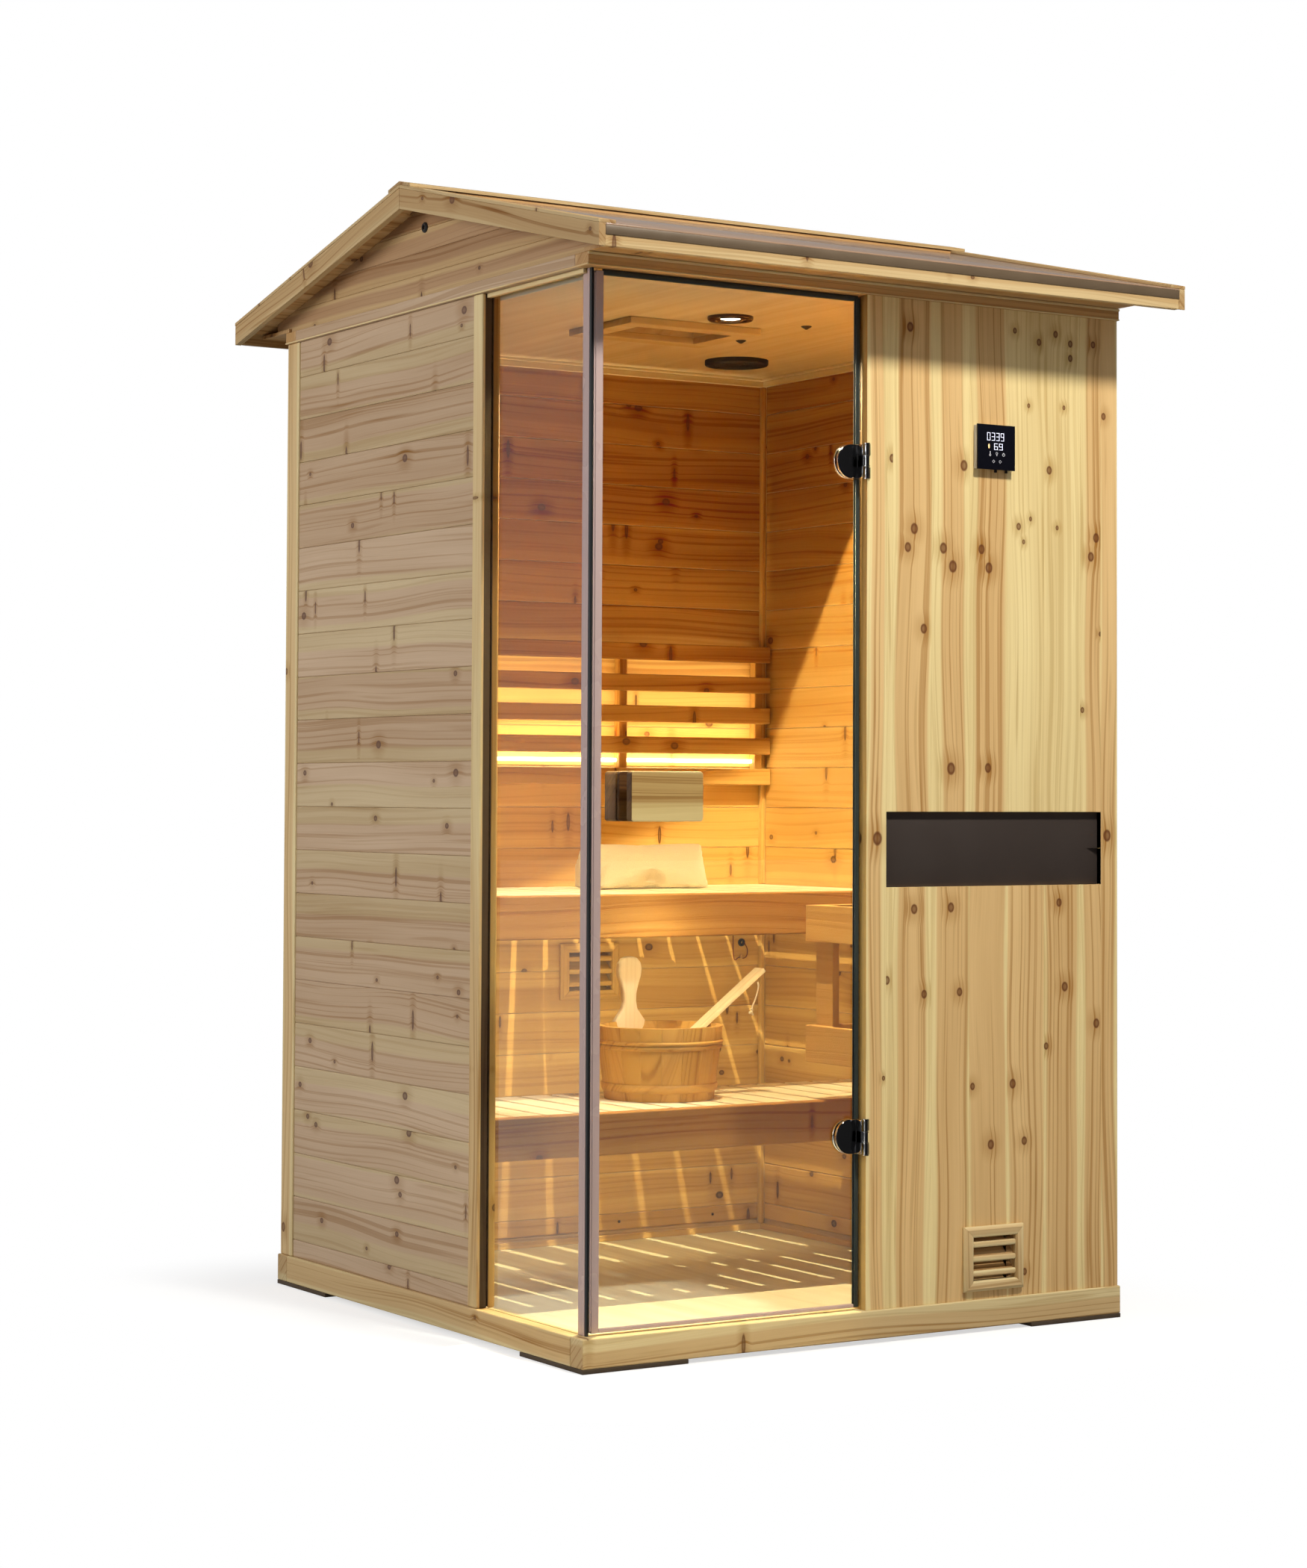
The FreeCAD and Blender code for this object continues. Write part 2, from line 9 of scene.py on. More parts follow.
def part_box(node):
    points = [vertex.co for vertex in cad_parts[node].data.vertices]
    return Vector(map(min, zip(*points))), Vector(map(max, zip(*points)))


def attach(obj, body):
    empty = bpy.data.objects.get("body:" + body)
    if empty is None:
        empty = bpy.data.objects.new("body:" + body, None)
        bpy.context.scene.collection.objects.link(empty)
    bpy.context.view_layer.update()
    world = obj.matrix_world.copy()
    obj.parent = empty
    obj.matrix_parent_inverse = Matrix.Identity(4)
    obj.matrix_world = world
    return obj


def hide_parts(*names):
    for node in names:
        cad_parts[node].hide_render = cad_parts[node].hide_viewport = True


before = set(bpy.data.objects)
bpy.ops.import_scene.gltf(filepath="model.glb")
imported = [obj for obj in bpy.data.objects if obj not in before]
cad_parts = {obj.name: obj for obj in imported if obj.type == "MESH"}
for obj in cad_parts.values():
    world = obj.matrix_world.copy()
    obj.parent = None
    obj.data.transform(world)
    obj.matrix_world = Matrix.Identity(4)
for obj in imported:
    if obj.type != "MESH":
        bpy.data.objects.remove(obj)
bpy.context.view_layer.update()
dice = random.Random(41)
knotSlots = 6  # knots that one board can carry


# Small tools

def finish(bm, name, body, material, smooth=None):
    # a bmesh as an object on its body; where smooth is given, edges under that angle are shaded round
    mesh = bpy.data.meshes.new(name)
    bm.to_mesh(mesh)
    bm.free()
    for face in mesh.polygons:
        face.use_smooth = False
    mesh.materials.append(material)
    if smooth:
        mesh.shade_smooth()
        mesh.set_sharp_from_angle(angle=math.radians(smooth))
    piece = bpy.data.objects.new(name, mesh)
    bpy.context.scene.collection.objects.link(piece)
    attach(piece, body)
    return piece


def solidsOf(node):
    # one bmesh for each solid of a CAD node, with its flat faces whole again
    whole = bmesh.new()
    whole.from_mesh(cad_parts[node].data)
    bmesh.ops.remove_doubles(whole, verts=whole.verts, dist=1e-5)
    bmesh.ops.dissolve_limit(whole, angle_limit=math.radians(0.5), verts=whole.verts,
                             edges=whole.edges, delimit={"NORMAL"})
    whole.verts.index_update()
    island = {}
    count = 0
    for start in whole.verts:
        if start.index in island:
            continue
        stack = [start]
        island[start.index] = count
        while stack:
            vert = stack.pop()
            for edge in vert.link_edges:
                other = edge.other_vert(vert)
                if other.index not in island:
                    island[other.index] = count
                    stack.append(other)
        count += 1
    pieces = []
    for number in range(count):
        one = whole.copy()
        one.verts.ensure_lookup_table()
        extra = [v for v in one.verts if island[v.index] != number]
        bmesh.ops.delete(one, geom=extra, context="VERTS")
        pieces.append(one)
    whole.free()
    return pieces


def reach(bm, axis):
    spots = [v.co[axis] for v in bm.verts]
    return min(spots), max(spots)


def block(low, high):
    bm = bmesh.new()
    bmesh.ops.create_cube(bm, size=1.0)
    low, high = Vector(low), Vector(high)
    bmesh.ops.scale(bm, vec=high - low, verts=bm.verts)
    bmesh.ops.translate(bm, vec=(low + high) / 2, verts=bm.verts)
    return bm


def soften(bm, width, segments=2, sharpest=35.0):
    edges = [e for e in bm.edges if len(e.link_faces) == 2
             and e.calc_face_angle(0) > math.radians(sharpest)]
    if width > 0 and edges:
        bmesh.ops.bevel(bm, geom=edges, offset=width, offset_type="OFFSET", affect="EDGES",
                        segments=segments, profile=0.5, material=-1, clamp_overlap=True)


def cutOut(bm, axis, low, high):
    # the part of a closed solid between two planes, closed again
    normal = Vector((0, 0, 0))
    normal[axis] = 1
    part = bm.copy()
    for place, direction in ((low, -normal), (high, normal)):
        if place is None:
            continue
        result = bmesh.ops.bisect_plane(part, geom=list(part.verts) + list(part.edges) + list(part.faces),
                                        dist=1e-6, plane_co=normal * place, plane_no=direction,
                                        clear_outer=True)
        edges = [g for g in result["geom_cut"] if isinstance(g, bmesh.types.BMEdge)]
        if edges:
            bmesh.ops.holes_fill(part, edges=edges, sides=0)
    return part


def layGrain(bm, along, heart=None, knots=(), knotRate=2.5, shade=None):
    # UV along and across the grain in metres, moved at random so that no two boards match,
    # with the board's tone, its heartwood band and up to six knots kept as attributes
    along = Vector(along).normalized()
    helper = Vector((0, 0, 1)) if abs(along.z) < 0.8 else Vector((0, 1, 0))
    across = along.cross(helper).normalized()
    up = along.cross(across).normalized()

    def spread(direction):
        places = [v.co.dot(direction) for v in bm.verts]
        return min(places), max(places)

    acrossSpan, upSpan = spread(across), spread(up)
    wide = across if acrossSpan[1] - acrossSpan[0] >= upSpan[1] - upSpan[0] else up
    wideSpan = spread(wide)
    width = wideSpan[1] - wideSpan[0]
    slide = (dice.uniform(0, 40), dice.uniform(0, 40))
    tone = dice.random() if shade is None else shade
    if heart is None:
        middle = (wideSpan[0] + wideSpan[1]) / 2 + dice.uniform(-0.3, 0.3) * width
        half = width * dice.uniform(0.28, 0.5)
    else:
        middle, half = heart

    def flat(spot):
        return slide[0] + spot.dot(along), slide[1] + spot.dot(across) + spot.dot(up)

    marks = [(*flat(Vector(spot)), size) for spot, size in knots]
    if not knots:
        low, high = spread(along)
        places = [flat(v.co)[1] for v in bm.verts]
        for _ in range(int((high - low) * knotRate * dice.uniform(0.5, 1.5) + 0.5)):
            size = dice.choice((0.004, 0.006, 0.0085, -0.004, -0.006))
            marks.append((slide[0] + dice.uniform(low, high), dice.uniform(min(places), max(places)), size))
    marks = (marks + [(-9.0, -9.0, 0.001)] * knotSlots)[:knotSlots]

    uv = bm.loops.layers.uv.verify()
    floats = {name: bm.verts.layers.float.get(name) or bm.verts.layers.float.new(name)
              for name in ("boardTone", "boardAcross", "heartHalf")}
    spots = [bm.verts.layers.float_vector.get("knot%d" % n) or bm.verts.layers.float_vector.new("knot%d" % n)
             for n in range(knotSlots)]
    end = bm.faces.layers.float.get("endCut") or bm.faces.layers.float.new("endCut")
    for vert in bm.verts:
        vert[floats["boardTone"]] = tone
        vert[floats["boardAcross"]] = vert.co.dot(wide) - middle
        vert[floats["heartHalf"]] = half
        for layer, mark in zip(spots, marks):
            vert[layer] = mark
    bm.normal_update()
    for face in bm.faces:
        cut = abs(face.normal.dot(along)) > 0.7
        face[end] = 1.0 if cut else 0.0
        for loop in face.loops:
            u, v = flat(loop.vert.co)
            loop[uv].uv = (slide[0] + loop.vert.co.dot(wide) * 0.25, v) if cut else (u, v)
    return bm


def gather(parts):
    whole = bmesh.new()
    for bm in parts:
        mesh = bpy.data.meshes.new("part")
        bm.to_mesh(mesh)
        bm.free()
        whole.from_mesh(mesh)
        bpy.data.meshes.remove(mesh)
    return whole


def grainOf(bm):
    spans = [reach(bm, axis)[1] - reach(bm, axis)[0] for axis in range(3)]
    if spans[0] >= max(spans[1], spans[2]):
        return Vector((1, 0, 0))
    if spans[2] > spans[1] and spans[2] > 3 * spans[1]:
        return Vector((0, 0, 1))
    longest = max(bm.edges, key=lambda e: e.calc_length())
    return (longest.verts[1].co - longest.verts[0].co).normalized()


def timber(node, material, body="cabin", rounding=0.0015, segments=2, along=None,
           knotRate=2.5, shade=None):
    # every solid of a node as one planed timber with eased edges
    parts = []
    for bm in solidsOf(node):
        grain = Vector(along) if along else grainOf(bm)
        soften(bm, rounding, segments)
        parts.append(layGrain(bm, grain, knotRate=knotRate, shade=shade(bm) if shade else None))
    piece = finish(gather(parts), node + "Timber", body, material)
    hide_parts(node)
    return piece


def sawBoards(bm, axis, pitch, start, along, groove, knotRate=2.5, hearts=None, knots=()):
    # a solid as boards side by side, with a small groove at each joint
    low, high = reach(bm, axis)
    first = start + math.floor((low - start) / pitch + 1e-6) * pitch
    edges = [low]
    place = first + pitch
    while place < high - 0.012:
        if place > low + 0.012:
            edges.append(place)
        place += pitch
    edges.append(high)
    boards = []
    for number, (lower, upper) in enumerate(zip(edges, edges[1:])):
        board = cutOut(bm, axis, None if number == 0 else lower, None if upper == high else upper)
        if not board.verts:
            continue
        soften(board, groove, 2)
        heart = None
        if hearts is not None:
            inside = [h for h in hearts if lower < (h[0] + h[1]) / 2 < upper]
            span = inside[0] if inside else (0.0, 0.001)
            heart = (-(span[0] + span[1]) / 2, (span[1] - span[0]) / 2)
        own = [k for k in knots if lower <= k[0][axis] < upper]
        boards.append(layGrain(board, along, heart, own, knotRate))
    return boards


# Camera, from the photograph's vanishing points

cameraPlace = {"spot": (-3.7341, -5.7894, 1.0767), "yaw": 32.20, "pitch": 2.01, "roll": 0.25,
               "lens": 73.55, "shiftX": -0.0003, "shiftY": -0.0645}


def placeCamera():
    yaw, pitch, roll = (math.radians(cameraPlace[k]) for k in ("yaw", "pitch", "roll"))
    forward = Vector((math.sin(yaw) * math.cos(pitch), math.cos(yaw) * math.cos(pitch), math.sin(pitch)))
    side = Vector((math.cos(yaw), -math.sin(yaw), 0))
    upward = side.cross(forward)
    right = math.cos(roll) * side + math.sin(roll) * upward
    up = -math.sin(roll) * side + math.cos(roll) * upward
    data = bpy.data.cameras.new("camera")
    data.lens = cameraPlace["lens"]
    data.sensor_width = 36
    data.sensor_fit = "AUTO"
    data.shift_x = cameraPlace["shiftX"]
    data.shift_y = cameraPlace["shiftY"]
    data.clip_end = 100
    camera = bpy.data.objects.new("camera", data)
    bpy.context.scene.collection.objects.link(camera)
    turn = Matrix((right, up, -forward)).transposed().to_4x4()
    camera.matrix_world = Matrix.Translation(Vector(cameraPlace["spot"])) @ turn
    bpy.context.scene.camera = camera


placeCamera()
print("camera placed")


# Shader helpers

def put(tree, kind, inputs=None, **settings):
    node = tree.nodes.new("ShaderNode" + kind)
    for key, value in settings.items():
        setattr(node, key, value)
    for key, value in (inputs or {}).items():
        if isinstance(value, bpy.types.NodeSocket):
            tree.links.new(value, node.inputs[key])
        else:
            node.inputs[key].default_value = value
    return node


def math2(tree, operation, a, b=0.0):
    return put(tree, "Math", {0: a, 1: b}, operation=operation).outputs[0]


def plus(tree, a, b):
    return math2(tree, "ADD", a, b)


def minus(tree, a, b):
    return math2(tree, "SUBTRACT", a, b)


def times(tree, a, b):
    return math2(tree, "MULTIPLY", a, b)


def facing(tree, direction, way):
    # how far a direction points along another one
    return put(tree, "VectorMath", {0: direction, 1: way}, operation="DOT_PRODUCT").outputs["Value"]


def objectSpots(tree):
    return put(tree, "TexCoord").outputs["Object"]


def rangeOf(tree, value, low, high, toLow=0.0, toHigh=1.0):
    return put(tree, "MapRange", {"Value": value, "From Min": low, "From Max": high,
                                  "To Min": toLow, "To Max": toHigh},
               interpolation_type="SMOOTHSTEP").outputs["Result"]


def blendColour(tree, factor, a, b):
    node = put(tree, "Mix", data_type="RGBA", blend_type="MIX")
    for index, value in ((0, factor), (6, a), (7, b)):
        if isinstance(value, bpy.types.NodeSocket):
            tree.links.new(value, node.inputs[index])
        else:
            node.inputs[index].default_value = value
    return node.outputs[2]


def newGroup(name, inputs, outputs):
    tree = bpy.data.node_groups.new(name, "ShaderNodeTree")
    for label, kind, value in inputs:
        socket = tree.interface.new_socket(name=label, in_out="INPUT", socket_type=kind)
        if value is not None:
            socket.default_value = value
    for label, kind in outputs:
        tree.interface.new_socket(name=label, in_out="OUTPUT", socket_type=kind)
    return tree, tree.nodes.new("NodeGroupInput"), tree.nodes.new("NodeGroupOutput")


def colour(r, g, b):
    # a colour as a picture editor shows it, 0 to 255
    def line(c):
        c = c / 255
        return c / 12.92 if c <= 0.04045 else ((c + 0.055) / 1.055) ** 2.4
    return (line(r), line(g), line(b), 1.0)


def makeKnotMark():
    # how far a place is from a knot, in the knot's own radius; a spike knot lies across the grain
    tree, start, end = newGroup("knotMark", [
        ("Grain", "NodeSocketVector", None), ("Knot", "NodeSocketVector", None),
        ("Nearest", "NodeSocketFloat", 99.0)], [("Nearest", "NodeSocketFloat")])
    i = start.outputs
    place = put(tree, "SeparateXYZ", {"Vector": i["Grain"]}).outputs
    knot = put(tree, "SeparateXYZ", {"Vector": i["Knot"]}).outputs
    spike = math2(tree, "LESS_THAN", knot["Z"], 0.0)
    radius = math2(tree, "MAXIMUM", math2(tree, "ABSOLUTE", knot["Z"]), 0.0001)
    along = times(tree, minus(tree, place["X"], knot["X"]), plus(tree, 0.78, times(tree, spike, 0.5)))
    across = times(tree, minus(tree, place["Y"], knot["Y"]), minus(tree, 1.0, times(tree, spike, 0.72)))
    away = math2(tree, "SQRT", plus(tree, times(tree, along, along), times(tree, across, across)))
    nearest = math2(tree, "MINIMUM", math2(tree, "DIVIDE", away, radius), i["Nearest"])
    tree.links.new(nearest, end.inputs["Nearest"])
    return tree


def makeTimberGrain():
    tree, start, end = newGroup("timberGrain", [
        ("Grain", "NodeSocketVector", None), ("Tone", "NodeSocketFloat", 0.5),
        ("Across", "NodeSocketFloat", 0.0), ("Heart half", "NodeSocketFloat", 0.03),
        ("Knot away", "NodeSocketFloat", 99.0), ("End cut", "NodeSocketFloat", 0.0),
        ("Heart", "NodeSocketColor", (0.5, 0.3, 0.15, 1)),
        ("Sap", "NodeSocketColor", (0.6, 0.45, 0.25, 1)), ("Knot", "NodeSocketColor", (0.12, 0.05, 0.02, 1)),
        ("Line depth", "NodeSocketFloat", 0.3), ("Streaks", "NodeSocketFloat", 0.5),
        ("Painted shade", "NodeSocketFloat", 0.0), ("Board spread", "NodeSocketFloat", 0.16)],
        [("Colour", "NodeSocketColor"), ("Roughness", "NodeSocketFloat"), ("Height", "NodeSocketFloat")])
    i = start.outputs

    def noise(spots, scale, detail=1.0, roughness=0.5):
        at = put(tree, "Mapping", {"Vector": spots, "Scale": (scale[0], scale[1], 1.0)}).outputs[0]
        return put(tree, "TexNoise", {"Vector": at, "Scale": 1.0, "Detail": detail, "Roughness": roughness},
                   noise_dimensions="2D").outputs["Fac"]

    # the grain wanders slowly and is pushed aside by the knots
    halo = rangeOf(tree, i["Knot away"], 0.8, 4.5, 1.0, 0.0)
    core = rangeOf(tree, i["Knot away"], 0.8, 1.15, 1.0, 0.0)
    rim = times(tree, core, rangeOf(tree, i["Knot away"], 0.3, 0.8, 0.72, 1.0))
    wander = minus(tree, noise(i["Grain"], (1.3, 3.0)), 0.5)
    push = plus(tree, times(tree, wander, 0.05), times(tree, halo, 0.005))
    parts = put(tree, "SeparateXYZ", {"Vector": i["Grain"]}).outputs
    bent = put(tree, "CombineXYZ", {"X": parts["X"], "Y": plus(tree, parts["Y"], push)}).outputs[0]
    # growth rings as long lines, and fine fibres
    rings = noise(bent, (0.5, 120.0), 2.0, 0.55)
    ringLine = rangeOf(tree, rings, 0.5, 0.66)
    fibre = noise(bent, (4.0, 420.0), 2.0)
    # one heartwood band in each board, with a soft wandering edge
    edge = math2(tree, "ABSOLUTE", plus(tree, i["Across"], times(tree, wander, 0.03)))
    feather = times(tree, minus(tree, rings, 0.5), 0.012)
    heart = rangeOf(tree, plus(tree, minus(tree, edge, i["Heart half"]), feather), -0.0035, 0.0035, 1.0, 0.0)
    body = blendColour(tree, heart, i["Sap"], i["Heart"])
    # wide soft bands and a few dark streaks along the grain
    cloud = minus(tree, noise(bent, (1.2, 22.0), 2.0), 0.5)
    streak = times(tree, rangeOf(tree, noise(bent, (2.2, 60.0), 1.0), 0.68, 0.8), i["Streaks"])
    lines = times(tree, ringLine, plus(tree, 0.45, times(tree, heart, 0.55)))
    lines = plus(tree, lines, times(tree, fibre, 0.4))
    # painted shade toward the ceiling darkens the wood like its lines
    dark = plus(tree, times(tree, i["Line depth"], lines), i["Painted shade"])
    lift = plus(tree, times(tree, i["Board spread"], minus(tree, i["Tone"], 0.5)), times(tree, cloud, 0.35))
    marks = plus(tree, times(tree, halo, 0.22), minus(tree, times(tree, streak, 0.35), lift))
    shade = plus(tree, dark, marks)
    # what is darker is also warmer: blue loses most
    tints = {axis: minus(tree, 1.0, times(tree, shade, amount))
             for axis, amount in (("X", 0.75), ("Y", 1.0), ("Z", 1.3))}
    tints["Z"] = math2(tree, "MAXIMUM", tints["Z"], 0.03)
    tint = put(tree, "CombineXYZ", tints).outputs[0]
    toned = put(tree, "VectorMath", {0: body, 1: tint}, operation="MULTIPLY").outputs[0]
    knotted = blendColour(tree, times(tree, rim, 0.92), toned, i["Knot"])
    sawn = blendColour(tree, times(tree, i["End cut"], 0.22), knotted, i["Knot"])
    tree.links.new(sawn, end.inputs["Colour"])
    tree.links.new(plus(tree, 0.48, times(tree, fibre, 0.2)), end.inputs["Roughness"])
    height = minus(tree, times(tree, fibre, 0.5), times(tree, ringLine, 0.5))
    tree.links.new(minus(tree, height, times(tree, core, 0.5)), end.inputs["Height"])
    return tree


knotMark = makeKnotMark()
timberGrain = makeTimberGrain()

timberLooks = ("Heart", "Sap", "Knot", "Line depth", "Streaks", "Board spread")
timbers = {
    "cladding": (colour(197, 170, 140), colour(200, 178, 140), colour(98, 68, 56), 0.26, 0.45, 0.2),
    # the gables' boards: the cladding made darker and warmer, painted shade under the roof's overhang
    "gableBoards": (colour(172, 136, 98), colour(190, 158, 112), colour(80, 50, 36), 0.28, 0.4, 0.34),
    "roofTrim": (colour(192, 160, 112), colour(204, 178, 132), colour(98, 58, 34), 0.36, 0.8, 0.16),
    "frontBoards": (colour(224, 187, 130), colour(238, 216, 158), colour(104, 54, 22), 0.34, 0.5, 0.08),
    "paleTrim": (colour(214, 184, 134), colour(228, 208, 158), colour(110, 72, 40), 0.3, 0.5, 0.12),
    "railWood": (colour(206, 164, 108), colour(216, 178, 126), colour(92, 54, 28), 0.35, 0.6, 0.16),
    "inside": (colour(184, 146, 80), colour(194, 158, 92), colour(70, 36, 12), 0.2, 0.4, 0.18),
    "insidePale": (colour(240, 228, 196), colour(246, 236, 208), colour(120, 74, 36), 0.14, 0.2, 0.1),
    "insideSmooth": (colour(212, 204, 176), colour(216, 210, 184), colour(110, 66, 34), 0.06, 0.05, 0.04),
    "bucketWood": (colour(184, 142, 64), colour(192, 150, 74), colour(96, 52, 22), 0.35, 0.1, 0.1),
    "handleWood": (colour(190, 156, 96), colour(222, 198, 136), colour(96, 52, 22), 0.35, 0.6, 0.1),
    "revealWood": (colour(72, 54, 34), colour(80, 62, 40), colour(60, 40, 22), 0.3, 0.3, 0.1),
    # painted shade for the door handle's left faces and finger groove
    "handleShade": (colour(88, 58, 26), colour(110, 78, 36), colour(40, 22, 10), 0.5, 0.6, 0.1),
}

# painted shade: wood inside is darker toward the ceiling, where the lamp's light does not reach; from one
# height to another, by this much
paintedShadeByHeight = {"inside": (0.95, 1.75, 0.5), "insideSmooth": (1.7, 1.95, 0.3)}
grainDepth = 0.0006


def timberMaterial(name, look):
    material = bpy.data.materials.new(name)
    material.use_nodes = True
    tree = material.node_tree
    shader = tree.nodes["Principled BSDF"]
    grain = tree.nodes.new("ShaderNodeGroup")
    grain.node_tree = timberGrain
    for key, value in zip(timberLooks, look):
        grain.inputs[key].default_value = value
    place = put(tree, "UVMap").outputs["UV"]
    nearest = None
    for number in range(knotSlots):
        mark = tree.nodes.new("ShaderNodeGroup")
        mark.node_tree = knotMark
        tree.links.new(place, mark.inputs["Grain"])
        knot = put(tree, "Attribute", attribute_name="knot%d" % number)
        tree.links.new(knot.outputs["Vector"], mark.inputs["Knot"])
        if nearest:
            tree.links.new(nearest, mark.inputs["Nearest"])
        nearest = mark.outputs["Nearest"]
    tree.links.new(nearest, grain.inputs["Knot away"])
    tree.links.new(place, grain.inputs["Grain"])
    for attribute, socket in (("boardTone", "Tone"), ("boardAcross", "Across"), ("heartHalf", "Heart half"),
                              ("endCut", "End cut")):
        tree.links.new(put(tree, "Attribute", attribute_name=attribute).outputs["Fac"], grain.inputs[socket])
    # painted shade: darker toward the ceiling, by the height in the object
    if name in paintedShadeByHeight:
        height = put(tree, "SeparateXYZ", {"Vector": objectSpots(tree)}).outputs["Z"]
        low, high, amount = paintedShadeByHeight[name]
        tree.links.new(rangeOf(tree, height, low, high, 0.0, amount), grain.inputs["Painted shade"])
    tree.links.new(grain.outputs["Colour"], shader.inputs["Base Color"])
    tree.links.new(grain.outputs["Roughness"], shader.inputs["Roughness"])
    relief = put(tree, "Bump", {"Strength": 0.5, "Distance": grainDepth, "Height": grain.outputs["Height"]})
    tree.links.new(relief.outputs["Normal"], shader.inputs["Normal"])
    shader.inputs["Specular IOR Level"].default_value = 0.3
    return material


wood = {name: timberMaterial(name, look) for name, look in timbers.items()}


def plainMaterial(name, base, roughness=0.5, metallic=0.0, bump=0.0, bumpScale=200.0, coat=0.0, mottle=0.15):
    # a finish with a little mottle in its colour and roughness
    material = bpy.data.materials.new(name)
    material.use_nodes = True
    tree = material.node_tree
    shader = tree.nodes["Principled BSDF"]
    spots = objectSpots(tree)
    cloud = put(tree, "TexNoise", {"Vector": spots, "Scale": 9.0, "Detail": 3.0})
    darker = tuple(c * (1 - mottle) for c in base[:3]) + (1.0,)
    tree.links.new(blendColour(tree, cloud.outputs["Fac"], darker, base), shader.inputs["Base Color"])
    dull = rangeOf(tree, cloud.outputs["Fac"], 0.3, 0.7, roughness * 0.85, min(1.0, roughness * 1.15))
    tree.links.new(dull, shader.inputs["Roughness"])
    shader.inputs["Metallic"].default_value = metallic
    shader.inputs["Coat Weight"].default_value = coat
    if bump > 0:
        fine = put(tree, "TexNoise", {"Vector": spots, "Scale": bumpScale, "Detail": 2.0})
        relief = put(tree, "Bump", {"Strength": 0.6, "Distance": bump, "Height": fine.outputs["Fac"]})
        tree.links.new(relief.outputs["Normal"], shader.inputs["Normal"])
    return material


def glassMaterial():
    # clear glass that lets light and shadow rays straight through
    material = bpy.data.materials.new("clearGlass")
    material.use_nodes = True
    tree = material.node_tree
    shader = tree.nodes["Principled BSDF"]
    shader.inputs["Base Color"].default_value = (0.97, 0.99, 0.98, 1)
    shader.inputs["Roughness"].default_value = 0.0
    shader.inputs["IOR"].default_value = 1.45
    shader.inputs["Transmission Weight"].default_value = 1.0
    path = put(tree, "LightPath").outputs
    through = math2(tree, "MAXIMUM", path["Is Shadow Ray"], path["Is Diffuse Ray"])
    clear = put(tree, "BsdfTransparent", {"Color": (0.95, 0.96, 0.95, 1)})
    joined = put(tree, "MixShader", {0: through, 1: shader.outputs[0], 2: clear.outputs[0]})
    tree.links.new(joined.outputs[0], tree.nodes["Material Output"].inputs["Surface"])
    return material


def glowMaterial(name, tint, strength):
    material = bpy.data.materials.new(name)
    material.use_nodes = True
    tree = material.node_tree
    shader = tree.nodes["Principled BSDF"]
    shader.inputs["Base Color"].default_value = (0.5, 0.5, 0.5, 1)
    spots = objectSpots(tree)
    cloud = put(tree, "TexNoise", {"Vector": spots, "Scale": 30.0})
    duller = tuple(c * 0.92 for c in tint[:3]) + (1.0,)
    tree.links.new(blendColour(tree, cloud.outputs["Fac"], duller, tint), shader.inputs["Emission Color"])
    shader.inputs["Emission Strength"].default_value = strength
    return material


def towelMaterial():
    # looped cotton: fine bumps in rows
    material = plainMaterial("towelling", colour(214, 206, 184), 0.95, mottle=0.06)
    tree = material.node_tree
    spots = objectSpots(tree)
    loops = put(tree, "TexVoronoi", {"Vector": spots, "Scale": 420.0})
    relief = put(tree, "Bump", {"Strength": 0.7, "Distance": 0.0012, "Height": loops.outputs["Distance"]},
                 invert=True)
    shader = tree.nodes["Principled BSDF"]
    tree.links.new(relief.outputs["Normal"], shader.inputs["Normal"])
    shader.inputs["Sheen Weight"].default_value = 0.3
    return material


